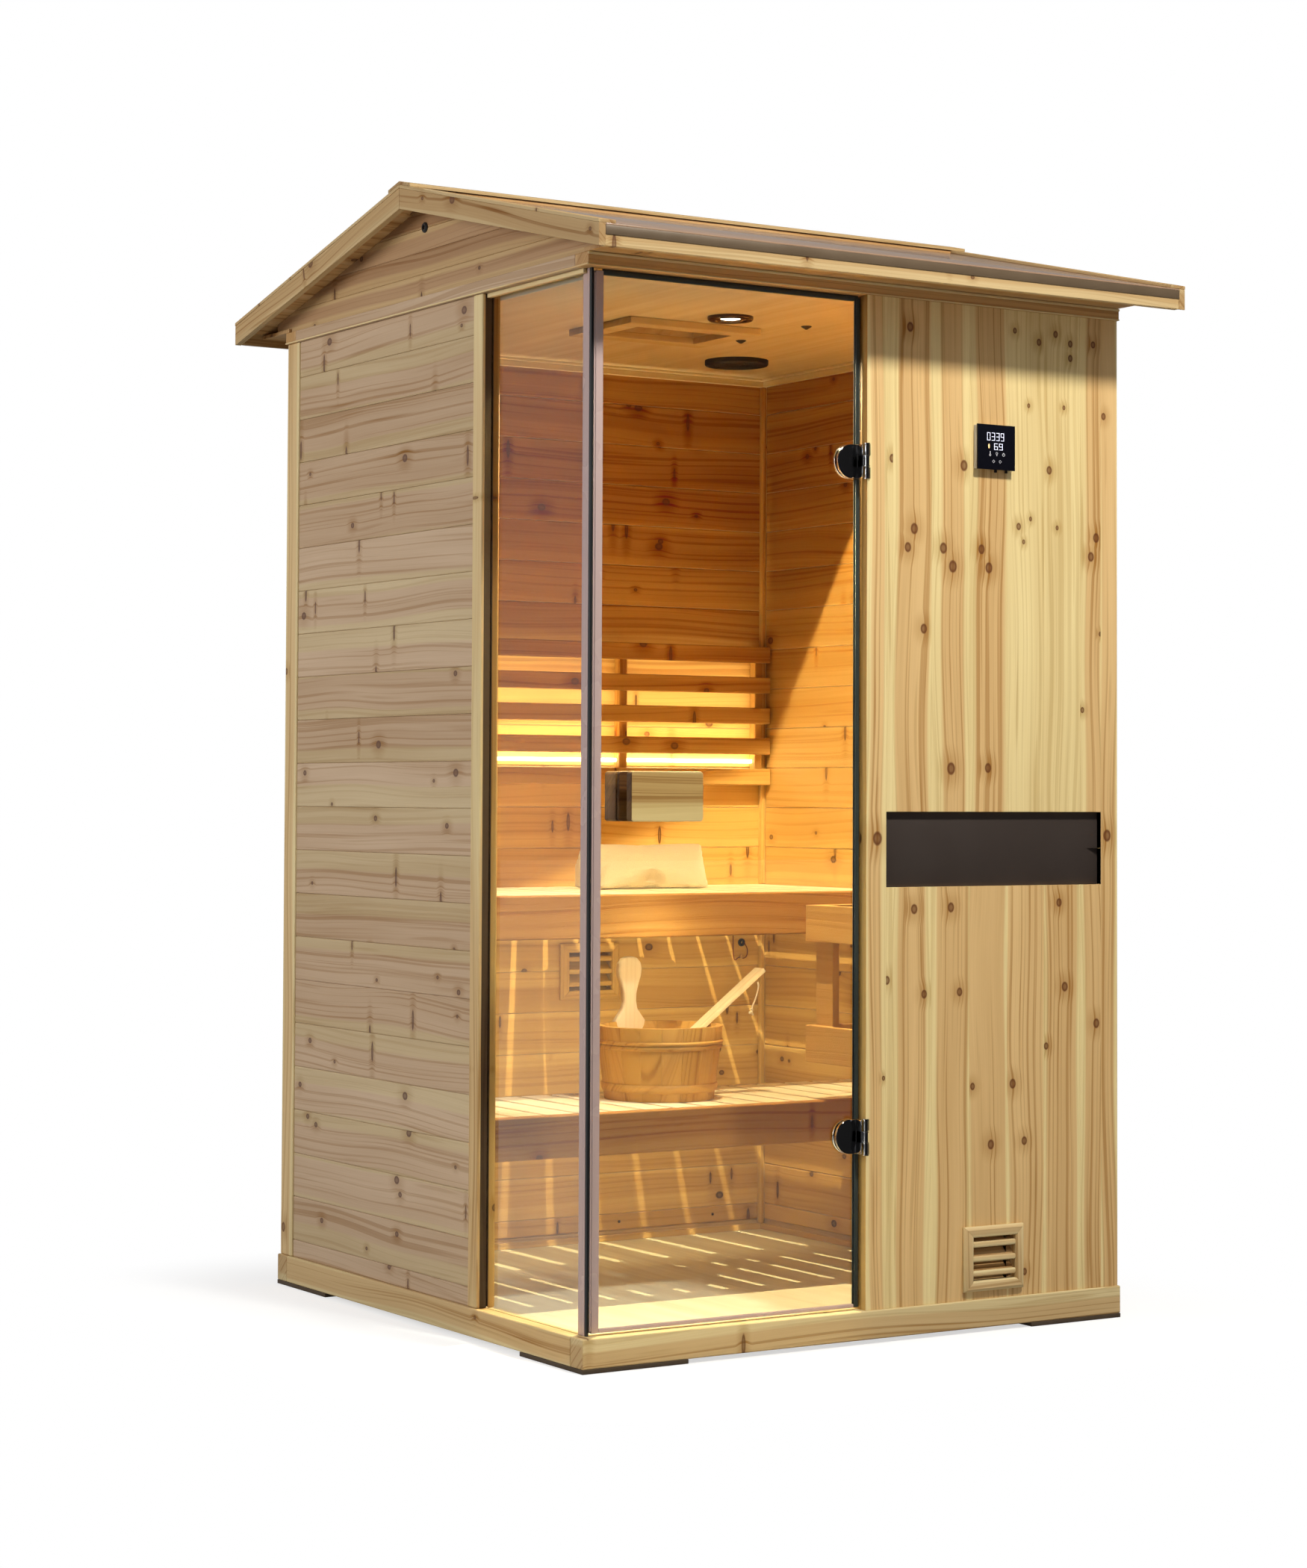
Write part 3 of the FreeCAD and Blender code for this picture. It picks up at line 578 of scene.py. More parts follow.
finishes = {
    "glass": glassMaterial(),
    "chrome": plainMaterial("chrome", (0.55, 0.55, 0.57, 1), 0.07, 1.0, mottle=0.03),
    "brightRim": plainMaterial("brightRim", (0.85, 0.85, 0.87, 1), 0.2, 1.0, mottle=0.03),
    "blackRubber": plainMaterial("blackRubber", (0.012, 0.014, 0.016, 1), 0.45, bump=0.0002, mottle=0.3),
    "doorSeal": plainMaterial("doorSeal", (0.035, 0.05, 0.05, 1), 0.35, bump=0.0002, mottle=0.3),
    "clearProfile": plainMaterial("clearProfile", colour(190, 166, 162), 0.25, mottle=0.08),
    "footPads": plainMaterial("footPads", colour(86, 70, 52), 0.8, bump=0.0006, mottle=0.3),
    "dripMetal": plainMaterial("dripMetal", colour(112, 94, 74), 0.4, 0.15, mottle=0.25),
    "slate": plainMaterial("slate", colour(66, 57, 53), 0.35, bump=0.00015, mottle=0.14),
    "panelBlack": plainMaterial("panelBlack", (0.005, 0.005, 0.009, 1), 0.1, coat=0.5, mottle=0.2),
    "panelSide": plainMaterial("panelSide", colour(205, 203, 200), 0.35, mottle=0.06),
    "blackPlastic": plainMaterial("blackPlastic", (0.006, 0.005, 0.004, 1), 0.75, bump=0.0003, bumpScale=500,
                                  mottle=0.2),
    "lampRing": plainMaterial("lampRing", colour(58, 36, 22), 0.35, 0.5, mottle=0.2),
    "reflector": plainMaterial("reflector", (0.8, 0.8, 0.8, 1), 0.25, 1.0, mottle=0.05),
    "roofSheet": plainMaterial("roofSheet", colour(172, 140, 116), 0.18, coat=0.3, mottle=0.3),
    "towelling": towelMaterial(),
    "string": plainMaterial("string", colour(232, 220, 196), 0.9, bump=0.0004, bumpScale=900, mottle=0.15),
    "redWire": plainMaterial("redWire", colour(96, 20, 12), 0.35, mottle=0.2),
    "screwHead": plainMaterial("screwHead", colour(70, 48, 28), 0.4, 0.8, mottle=0.3),
    "lampGlow": glowMaterial("lampGlow", (1.0, 0.93, 0.78, 1), 9.0),
    "stripGlow": glowMaterial("stripGlow", (1.0, 0.86, 0.52, 1), 20.0),
    "digitGlow": glowMaterial("digitGlow", (0.8, 0.8, 1.0, 1), 1.5),
    "flameGlow": glowMaterial("flameGlow", (1.0, 0.5, 0.05, 1), 1.6),
    "iconGlow": glowMaterial("iconGlow", (0.75, 0.75, 0.8, 1), 0.55),
}


def wear(node, material):
    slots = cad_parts[node].data.materials
    slots.clear()
    slots.append(material)


# Lights and the plain stage

lights = {"fill": 0.33, "frontGlossy": 0.015, "backGlossy": 0.36,
          "key": 205.0, "keySize": 0.52, "keyRise": 51.5, "keySide": -4.0, "keyFar": 4.4,
          "keyAim": (0.2, -0.65, 1.35), "keyTint": (1.0, 0.97, 0.88),
          "side": 102.0, "sideSize": 2.4, "sideSpot": (-5.0, 1.0, 2.4), "sideAim": (-0.65, 0.0, 1.1),
          "sideTint": (1.0, 0.97, 0.95),
          "lamp": 250.0, "lampTint": (1.0, 0.84, 0.48), "lampCut": 0.34, "lampDrop": 0.008,
          "shadePlane": (0.227, -0.813, -0.538)}
# small lights inside that brighten what they face: watts, size, place, aim and spread
insideLights = {"underBench": (3.0, (1.1, 0.5), (0.0, 0.215, 0.5), (0.0, 0.6, 0.48), 180),
                "stripLight": (7.5, (1.1, 0.005), (0.0, 0.586, 1.166), (0.0, 0.626, 1.236), 180),
                "slatLight": (2.4, (1.12, 0.23), (0.0, 0.581, 1.30), (0.0, 0.7, 1.30), 180),
                "bucketLight": (0.35, (0.1,), (-0.05, -0.13, 0.8), (-0.06, 0.142, 0.62), 120)}
ground = {"half": 40, "drop": 0.0005, "pale": 0.9, "dull": 0.35, "footprint": 0.6, "fade": (0.05, 0.55)}


def areaLight(name, spot, aim, size, watts, tint, spread=180.0):
    data = bpy.data.lights.new(name, "AREA")
    data.shape = "DISK"
    data.size = size
    data.energy = watts
    data.color = tint
    data.spread = math.radians(spread)
    lamp = bpy.data.objects.new(name, data)
    bpy.context.scene.collection.objects.link(lamp)
    lamp.location = spot
    lamp.rotation_euler = (Vector(aim) - Vector(spot)).to_track_quat("-Z", "Y").to_euler()
    return lamp


def lightWorld():
    world = bpy.data.worlds.new("studio")
    bpy.context.scene.world = world
    world.use_nodes = True
    tree = world.node_tree
    plain = tree.nodes["Background"]
    plain.inputs["Color"].default_value = (0.98, 0.98, 1.0, 1)
    plain.inputs["Strength"].default_value = lights["fill"]
    # reflections see a dark studio in front and a pale one behind
    away = put(tree, "TexCoord").outputs["Generated"]
    turned = facing(tree, away, (-0.53, 0.85, 0.0))
    level = rangeOf(tree, turned, -0.2, 0.7, lights["frontGlossy"], lights["backGlossy"])
    mirrored = put(tree, "Background", {"Color": (1, 1, 1, 1), "Strength": level})
    white = put(tree, "Background", {"Color": (1, 1, 1, 1), "Strength": 1.0})
    # the camera sees white, also straight through glass, but not by way of a reflection
    path = put(tree, "LightPath").outputs
    first = math2(tree, "LESS_THAN", path["Diffuse Depth"], 0.5)
    glossy = times(tree, math2(tree, "GREATER_THAN", path["Glossy Depth"], 0.5), first)
    through = times(tree, path["Is Transmission Ray"], minus(tree, first, glossy))
    seen = math2(tree, "MAXIMUM", path["Is Camera Ray"], through)
    shiny = put(tree, "MixShader", {0: glossy, 1: plain.outputs[0], 2: mirrored.outputs[0]})
    joined = put(tree, "MixShader", {0: seen, 1: shiny.outputs[0], 2: white.outputs[0]})
    tree.links.new(joined.outputs[0], tree.nodes["World Output"].inputs["Surface"])


def lightLamp():
    # the ceiling lamp's reflector sends its light down and forward, with a bright edge to the beam
    low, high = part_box("ceiling_light")
    data = bpy.data.lights.new("lampLight", "POINT")
    data.energy = lights["lamp"]
    data.color = lights["lampTint"]
    data.shadow_soft_size = 0.006
    data.use_nodes = True
    tree = data.node_tree
    way = put(tree, "TexCoord").outputs["Normal"]
    down = times(tree, put(tree, "SeparateXYZ", {"Vector": way}).outputs["Z"], -1.0)
    cone = rangeOf(tree, down, lights["lampCut"] - 0.08, lights["lampCut"] + 0.08)
    side = facing(tree, way, lights["shadePlane"])
    beam = rangeOf(tree, side, -0.02, 0.03)
    rim = rangeOf(tree, side, 0.0, 0.12, 1.6, 1.0)
    tree.links.new(times(tree, times(tree, cone, beam), rim), tree.nodes["Emission"].inputs["Strength"])
    lamp = bpy.data.objects.new("lampLight", data)
    bpy.context.scene.collection.objects.link(lamp)
    lamp.location = ((low.x + high.x) / 2, (low.y + high.y) / 2, low.z - lights["lampDrop"])


def lightScene():
    lightWorld()
    rise, side = math.radians(lights["keyRise"]), math.radians(lights["keySide"])
    aim = Vector(lights["keyAim"])
    toward = Vector((math.sin(side) * math.cos(rise), -math.cos(side) * math.cos(rise), math.sin(rise)))
    areaLight("keyLight", aim + lights["keyFar"] * toward, aim, lights["keySize"], lights["key"],
              lights["keyTint"])
    areaLight("sideLight", lights["sideSpot"], lights["sideAim"], lights["sideSize"], lights["side"],
              lights["sideTint"])
    lightLamp()
    for name, (watts, size, spot, aim, spread) in insideLights.items():
        lamp = areaLight(name, spot, aim, size[0], watts, lights["lampTint"], spread)
        if len(size) == 2:
            lamp.data.shape = "RECTANGLE"
            lamp.data.size_y = size[1]
        lamp.visible_camera = False
        lamp.visible_glossy = False
        lamp.visible_transmission = False


def layFloor():
    # a pale floor that fades to white away from the cabin and is dull for the light it throws back
    bm = bmesh.new()
    bmesh.ops.create_grid(bm, x_segments=1, y_segments=1, size=ground["half"])
    bmesh.ops.translate(bm, vec=(0, 0, -ground["drop"]), verts=bm.verts)
    mesh = bpy.data.meshes.new("floor")
    bm.to_mesh(mesh)
    bm.free()
    floor = bpy.data.objects.new("floor", mesh)
    bpy.context.scene.collection.objects.link(floor)
    material = plainMaterial("paleFloor", (ground["pale"],) * 3 + (1,), 0.9, mottle=0.0)
    tree = material.node_tree
    shader = tree.nodes["Principled BSDF"]
    shader.inputs["Emission Color"].default_value = (1, 1, 1, 1)
    shader.inputs["Emission Strength"].default_value = 0.3
    dull = put(tree, "BsdfDiffuse", {"Color": (ground["dull"],) * 3 + (1,)})
    glow = put(tree, "Emission", {"Color": (1, 1, 1, 1), "Strength": 1.0})
    path = put(tree, "LightPath").outputs
    spots = put(tree, "SeparateXYZ", {"Vector": objectSpots(tree)}).outputs
    squares = []
    for axis in ("X", "Y"):
        beyond = minus(tree, math2(tree, "ABSOLUTE", spots[axis]), ground["footprint"])
        beyond = math2(tree, "MAXIMUM", beyond, 0.0)
        squares.append(times(tree, beyond, beyond))
    far = math2(tree, "SQRT", plus(tree, *squares))
    edge = times(tree, rangeOf(tree, far, *ground["fade"], 0.45, 1.0), path["Is Camera Ray"])
    seen = put(tree, "MixShader", {0: edge, 1: shader.outputs[0], 2: glow.outputs[0]})
    joined = put(tree, "MixShader", {0: path["Is Diffuse Ray"], 1: seen.outputs[0], 2: dull.outputs[0]})
    tree.links.new(joined.outputs[0], tree.nodes["Material Output"].inputs["Surface"])
    mesh.materials.append(material)
    floor.visible_glossy = False


lightScene()
layFloor()
bpy.context.scene.view_settings.view_transform = "Standard"
print("stage and lights set")


# More small tools

def lathe(profile, middle, steps):
    # a closed shape turned about an upright axis; the profile is (radius, height) from bottom to top
    bm = bmesh.new()
    verts = [bm.verts.new((radius, 0, height)) for radius, height in profile]
    edges = [bm.edges.new(pair) for pair in zip(verts, verts[1:] + verts[:1])]
    bmesh.ops.spin(bm, geom=verts + edges, angle=math.tau, steps=steps, use_merge=True, axis=(0, 0, 1),
                   cent=(0, 0, 0))
    bmesh.ops.remove_doubles(bm, verts=bm.verts, dist=1e-6)
    bmesh.ops.translate(bm, vec=middle, verts=bm.verts)
    bmesh.ops.recalc_face_normals(bm, faces=bm.faces)
    return bm


def bar(low, high, rounding=0.001, segments=2):
    bm = block(low, high)
    soften(bm, rounding, segments)
    return bm


def turnTo(bm, degrees, axis, spot):
    # a shape made at the origin is turned there and then moved to its place
    turn = Matrix.Rotation(math.radians(degrees), 3, axis)
    bmesh.ops.rotate(bm, cent=(0, 0, 0), matrix=turn, verts=bm.verts)
    bmesh.ops.translate(bm, vec=spot, verts=bm.verts)
    return bm


def paint(piece, material, wanted):
    # another material on the faces that are wanted
    piece.data.materials.append(material)
    for face in piece.data.polygons:
        if wanted(face):
            face.material_index = len(piece.data.materials) - 1


def splitAt(piece, axis, places):
    # new edges across a piece, so that part of a face can be painted
    bm = bmesh.new()
    bm.from_mesh(piece.data)
    normal = Vector((axis == 0, axis == 1, axis == 2))
    for place in places:
        bmesh.ops.bisect_plane(bm, geom=bm.verts[:] + bm.edges[:] + bm.faces[:], plane_co=normal * place,
                               plane_no=normal)
    bm.to_mesh(piece.data)
    bm.free()


def eased(node, material, body="cabin", rounding=0.001, segments=2, smooth=30.0):
    # a node with its edges eased, in a finish that has no grain
    parts = []
    for bm in solidsOf(node):
        soften(bm, rounding, segments)
        parts.append(bm)
    piece = finish(gather(parts), node + "Eased", body, material, smooth)
    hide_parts(node)
    return piece


def box3(node):
    low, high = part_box(node)
    return low, high, (low + high) / 2


def boarded(node, name, axis, pitch, start, along, groove, material, slotName, knotRate=2.5):
    # every solid of a node as boards; without a start the first board begins at the solid's own edge
    boards = []
    for bm in solidsOf(node):
        first = reach(bm, axis)[0] if start is None else start
        boards += sawBoards(bm, axis, pitch, first, along, groove, knotRate)
        bm.free()
    piece = finish(gather(boards), name, "cabin", material)
    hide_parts(node)
    return piece


def cordThrough(name, route, radius, resolution, material):
    # one open smooth curve along a route, as a round cord on the cabin
    curve = bpy.data.curves.new(name, "CURVE")
    curve.dimensions = "3D"
    curve.bevel_depth = radius
    curve.bevel_resolution = resolution
    curve.use_fill_caps = True
    line = curve.splines.new("NURBS")
    line.points.add(len(route) - 1)
    for point, spot in zip(line.points, route):
        point.co = (*spot, 1)
    line.order_u = 3
    line.use_endpoint_u = True
    curve.materials.append(material)
    piece = bpy.data.objects.new(name, curve)
    bpy.context.scene.collection.objects.link(piece)
    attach(piece, "cabin")
    return piece, sum((b - a).length for a, b in zip(route, route[1:]))


# Base and shell

shell = {"pitch": 0.0946, "start": 0.0082, "groove": 0.0026, "fineGroove": 0.0006, "gablePitch": 0.047,
         "wallKnots": 4.5, "reveal": (-0.639, -0.6145, -0.55), "frontSkin": 0.022,
         "leftStile": 0.050, "rightStile": 0.6015, "stileHearts": (((0.013, 0.044),), ((0.604, 0.643),)),
         "frontPitch": 0.0963, "frontStart": 0.065, "upperFrom": 0.971}
# heartwood bands and knots of the front boards, where the photograph shows them, in metres
upperHearts = [(0.075, 0.156), (0.183, 0.239), (0.272, 0.345), (0.562, 0.601)]
lowerHearts = [(0.082, 0.148), (0.171, 0.249), (0.262, 0.350), (0.358, 0.448), (0.453, 0.537),
               (0.556, 0.604)]
frontKnots = [(0.107, 2.018, 8), (0.063, 1.751, 7), (0.243, 1.747, 9), (0.118, 1.613, 9),
              (0.102, 1.575, 8), (0.191, 1.577, 9), (0.215, 1.541, 10), (0.288, 1.579, 8),
              (0.307, 1.542, 9), (0.374, 2.032, 5), (0.437, 2.013, 6), (0.481, 2.033, 6),
              (0.520, 2.016, 6), (0.520, 1.986, 6), (0.581, 2.019, 6), (0.410, 1.880, 4),
              (0.503, 1.882, 4), (0.609, 1.871, 6), (0.464, 1.750, 7), (0.384, 1.630, 6),
              (0.415, 1.647, 4), (0.397, 1.599, 4), (0.485, 1.632, 4), (0.493, 1.599, 4),
              (0.532, 1.593, 8), (0.589, 1.616, 8), (0.575, 1.576, 8), (0.142, 1.413, 8),
              (0.211, 1.133, 10), (0.305, 1.135, 8), (0.370, 1.275, 5), (0.475, 1.275, 7),
              (0.552, 1.257, 5), (0.405, 1.079, 3), (0.600, 1.416, 4), (0.028, 0.993, 11),
              (0.618, 0.997, 10), (0.119, 0.852, 8), (0.211, 0.854, 8), (0.490, 0.860, 7),
              (0.052, 0.712, 7), (0.144, 0.682, 7), (0.233, 0.684, 7), (0.505, 0.687, 8),
              (0.589, 0.609, 8), (0.456, 0.567, 6), (0.266, 0.493, 6), (0.369, 0.494, 8),
              (0.313, 0.374, 8), (0.399, 0.377, 7), (0.044, 0.519, 4), (0.400, 0.112, 6)]


def buildBase():
    for node in ("plinth_front_and_back", "plinth_sides"):
        timber(node, wood["paleTrim"], rounding=0.0025)
    eased("foot_pads", finishes["footPads"], rounding=0.0008)
    timber("top_rails_front_and_back", wood["railWood"], rounding=0.002, knotRate=1.5)
    timber("top_rails_sides", wood["cladding"], rounding=0.002, knotRate=1.5)
    posts = timber("wall_posts", wood["paleTrim"], rounding=0.003, knotRate=1.5)
    # the post beside the side pane has a dark strip and then the colour of the room
    splitAt(posts, 0, shell["reveal"][:2])
    for name, left, right in zip(("revealWood", "inside"), shell["reveal"], shell["reveal"][1:]):
        paint(posts, wood[name],
              lambda f: f.normal.y < -0.9 and left < f.center.x < right and f.center.y > -0.5)
    timber("floor_panel", wood["insideSmooth"], rounding=0.0, knotRate=0)


def buildWalls():
    looks = (shell["groove"], wood["cladding"], "cladding", shell["wallKnots"])
    sides = boarded("side_walls", "sideBoards", 2, shell["pitch"], shell["start"], (0, 1, 0), *looks)
    paint(sides, wood["inside"], lambda f: f.normal.x * f.center.x < -0.3)
    back = boarded("back_wall", "backBoards", 2, shell["pitch"], shell["start"], (1, 0, 0), *looks)
    paint(back, wood["inside"], lambda f: f.normal.y < -0.5)


def buildFront():
    low = box3("front_wall")[0]
    divide = low.y + shell["frontSkin"]
    knots = [(Vector((x, low.y, z)), size / 1000) for x, z, size in frontKnots]
    fine = shell["fineGroove"]
    upright = (0, 0, 1)
    boards = []
    for bm in solidsOf("front_wall"):
        outer = cutOut(bm, 1, None, divide)
        inner = cutOut(bm, 1, divide, None)
        stiles = (cutOut(outer, 0, None, shell["leftStile"]), cutOut(outer, 0, shell["rightStile"], None))
        for stile, span in zip(stiles, shell["stileHearts"]):
            boards += sawBoards(stile, 0, 1.0, 0.0, upright, fine, 0, span, knots)
        field = cutOut(outer, 0, shell["leftStile"], shell["rightStile"])
        upper = cutOut(field, 2, shell["upperFrom"], None)
        lower = cutOut(field, 2, None, shell["upperFrom"])
        above = [k for k in knots if k[0].z > shell["upperFrom"]]
        below = [k for k in knots if k[0].z < shell["upperFrom"]]
        for part, hearts, own in ((upper, upperHearts, above), (lower, lowerHearts, below)):
            boards += sawBoards(part, 0, shell["frontPitch"], shell["frontStart"], upright, fine, 0,
                                hearts, own)
        boards += sawBoards(inner, 2, shell["pitch"], shell["start"], (1, 0, 0), shell["groove"],
                            shell["wallKnots"])
    front = finish(gather(boards), "frontBoards", "cabin", wood["frontBoards"])
    # the room's wood on the inner side; on the outer boards' end faces at the door opening the darker wood
    # is painted shade
    paint(front, wood["inside"], lambda f: f.center.y > divide + 1e-4
          or (f.normal.x < -0.5 and f.center.x < 0.004))
    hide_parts("front_wall")
    eased("slate_panel", finishes["slate"], rounding=0.0008)


buildBase()
buildWalls()
buildFront()
print("base and walls built")


# Roof

roof = {"boardPitch": 0.088, "groove": 0.002, "bead": 0.0035, "fillerInset": 0.038, "fillerRise": 0.0055,
        "grommetAt": (0.0105, 2.2423), "grommetRadius": 0.011}


def buildRoof():
    for node in ("barge_boards", "verge_caps", "ridge_cap", "eave_fascias"):
        timber(node, wood["roofTrim"], rounding=0.0012, knotRate=2.5)
    timber("eave_soffits", wood["railWood"], rounding=0.001)
    boarded("roof_decks", "deckBoards", 1, roof["boardPitch"], 0.0, (1, 0, 0), roof["groove"],
            wood["railWood"], "cladding")
    boarded("gables", "gableBoards", 2, shell["gablePitch"], None, (0, 1, 0), roof["groove"],
            wood["gableBoards"], "cladding")
    eased("roof_sheets", finishes["roofSheet"], rounding=0.0006)
    eased("drip_strips", finishes["dripMetal"], rounding=0.0004)


def buildRidgeFiller():
    # a batten closes the space between the ridge cap and the roof sheets
    high = box3("ridge_cap")[1]
    sheetLow, sheetHigh, _ = box3("roof_sheets")
    inner = box3("verge_caps")[1].x - roof["fillerInset"]
    fall = (sheetHigh.z - sheetLow.z) / sheetHigh.y
    for side, name in ((-1, "ridgeFillerFront"), (1, "ridgeFillerBack")):
        bm = block((-inner, 0.002, 0), (inner, high.y - 0.004, 1))
        for vert in bm.verts:
            rise = roof["fillerRise"] if vert.co.z > 0.5 else -0.001
            vert.co.z = sheetHigh.z - fall * vert.co.y + rise
            vert.co.y *= side
        bmesh.ops.recalc_face_normals(bm, faces=bm.faces)
        soften(bm, 0.0005, 1)
        finish(layGrain(bm, (1, 0, 0), knotRate=1.0), name, "cabin", wood["railWood"])


def buildRailTrim():
    # a bead along the top of the rails and a glazing strip under them
    low, high, _ = box3("top_rails_front_and_back")
    bead = roof["bead"]
    beads = [bar((low.x, low.y - 0.002, high.z - 0.006), (high.x, low.y + 0.002, high.z - 0.001)),
             bar((low.x, low.y - 0.0015, low.z + 0.0005), (high.x, low.y + 0.002, low.z + bead)),
             bar((low.x - 0.0015, low.y, low.z + 0.0005), (low.x + 0.002, high.y, low.z + bead))]
    pane = box3("side_glass")
    strips = [bar((pane[0].x - 0.006 - 0.005 * n, pane[0].y, high.z - 0.031 - 0.004 * n),
                  (pane[0].x - 0.001, pane[1].y, high.z - 0.0262)) for n in range(2)]
    for name, parts, grain in (("railBeads", beads, None), ("glazingBeads", strips, (0, 1, 0))):
        grained = [layGrain(part, grain or grainOf(part), knotRate=0) for part in parts]
        finish(gather(grained), name, "cabin", wood["paleTrim"])


def buildGableGrommet():
    radius = roof["grommetRadius"]
    profile = [(0.004, 0.0), (radius, 0.0), (radius, 0.002), (0.0085, 0.0045), (0.005, 0.0045)]
    bm = lathe(profile, (0, 0, 0), 24)
    turnTo(bm, -90, "Y", (box3("gables")[0].x, *roof["grommetAt"]))
    finish(bm, "gableGrommet", "cabin", finishes["blackRubber"], 30)


buildRoof()
buildRidgeFiller()
buildRailTrim()
buildGableGrommet()
print("roof built")


# Glass corner and its fittings

fittings = {"hinges": (0.406, 1.741), "pin": (-0.004, -0.655), "washersAt": (-0.035, -0.01, 0.01, 0.035),
            "washerRadius": 0.0062, "washerThick": 0.0014, "coverAcross": (-0.0120, -0.0100),
            "coverDeep": (-0.6505, -0.6328), "coverHalf": 0.0338, "sealLip": 0.0052, "lapFrom": 0.0065,
            "fin": 0.0033}


def buildGlass():
    for node in ("side_glass", "door_glass"):
        wear(node, finishes["glass"])
    wear("corner_gasket", finishes["blackRubber"])
    eased("door_black_seals", finishes["doorSeal"], "door", 0.001)
    eased("side_glass_profile", finishes["clearProfile"], "cabin", 0.0015)
    eased("door_clear_seals", finishes["clearProfile"], "door", 0.0015)
    eased("door_clamps", finishes["chrome"], "door", 0.0012, 3)
    eased("hinge_leaves", finishes["chrome"], "cabin", 0.0008)


def buildHingeWashers():
    radius, thick = fittings["washerRadius"], fittings["washerThick"]
    parts = [lathe([(0.0005, 0.0), (radius, 0.0), (radius, thick), (0.0005, thick)],
                   (*fittings["pin"], middle + offset - thick / 2), 24)
             for middle in fittings["hinges"] for offset in fittings["washersAt"]]
    finish(gather(parts), "hingeWashers", "cabin", finishes["brightRim"], 30)


def buildHingeCovers():
    # between each clamp and its knuckles the door carries a flat cover
    (left, right), (front, back) = fittings["coverAcross"], fittings["coverDeep"]
    half = fittings["coverHalf"]
    parts = [bar((left, front, middle - half), (right, back, middle + half), 0.0005)
             for middle in fittings["hinges"]]
    finish(gather(parts), "hingeCovers", "door", finishes["chrome"], 30)


def buildDoorLips():
    # flexible lips on the door close the gap at its hinge side and along its head
    low, high, middle = box3("door_black_seals")
    reachOut = fittings["sealLip"] - 0.0008
    front, back = middle.y - 0.001, middle.y + 0.001
    parts = [bar((high.x - 0.001, front, low.z), (high.x + reachOut, back, high.z), 0.0005),
             bar((low.x, front, high.z - 0.001), (high.x, back, high.z + reachOut), 0.0005)]
    finish(gather(parts), "doorLips", "door", finishes["doorSeal"], 30)


def buildCornerLips():
    # the clear profile laps over part of the black gasket, and a clear fin on the door closes its gap
    low, high, _ = box3("corner_gasket")
    doorLow, doorHigh, _ = box3("door_clear_seals")
    lap = bar((low.x - 0.0008, low.y + fittings["lapFrom"], low.z),
              (low.x + 0.0004, high.y + 0.0005, high.z), 0.0003)
    finish(lap, "cornerLap", "cabin", finishes["clearProfile"], 30)
    fin = bar((doorLow.x - fittings["fin"], low.y + 0.0002, doorLow.z + 0.004),
              (doorLow.x + 0.001, low.y + 0.0012, doorHigh.z - 0.004), 0.0003)
    finish(fin, "doorFin", "door", finishes["clearProfile"], 30)


def buildHandle():
    handles = timber("door_handles", wood["handleWood"], "door", rounding=0.0015,
                     along=(1, 0, 0), knotRate=0)
    front = box3("door_handles")[0].y + 0.003
    # painted shade: the faces that look left and the faces inside the finger groove take a dark wood
    paint(handles, wood["handleShade"],
          lambda f: f.normal.x < -0.35 or (f.normal.y < -0.6 and f.center.y > front))


buildGlass()
buildHingeWashers()
buildHingeCovers()
buildDoorLips()
buildCornerLips()
buildHandle()
print("glass corner built")


# Inside

inside = {"crown": 0.020, "crownStep": 0.006, "corner": 0.013, "skirting": 0.014, "bearerTall": 0.078,
          "sensors": ((0.178, -0.18), (0.18, 0.075)), "screws": (-0.33, -0.13, 0.2, 0.46),
          "screwHeight": 0.084}


def buildRoom():
    timber("ceiling_panel", wood["insideSmooth"], rounding=0.0, knotRate=0)
    timber("ceiling_vent_frame", wood["insideSmooth"], rounding=0.002, knotRate=0,
           shade=lambda bm: -2.5)
    timber("ceiling_vent_hatch", wood["inside"], rounding=0.001)
    for node in ("upper_bench_slats", "lower_bench_slats"):
        timber(node, wood["insidePale"], rounding=0.002, knotRate=1.0)
    # a tone under 0 is darker than any board of the same material: painted shade on the backrest ribs and
    # slats, on the heater guard and on the bench front rails, most on the lower rail under the slats' nosing
    for node, rounding, knotRate, shade in (
            ("bench_bearers", 0.003, 1.5, None),
            ("backrest_ribs", 0.003, 1.5, lambda bm: -1.2),
            ("backrest_slats", 0.003, 2.5, lambda bm: -0.9),
            ("bench_front_rails", 0.003, 1.5, lambda bm: -2.6 if reach(bm, 2)[1] < 0.5 else -2.0),
            ("heater_guard", 0.0015, 1.0, lambda bm: -0.8)):
        timber(node, wood["inside"], rounding=rounding, knotRate=knotRate, shade=shade)
    wear("backrest_light", finishes["stripGlow"])


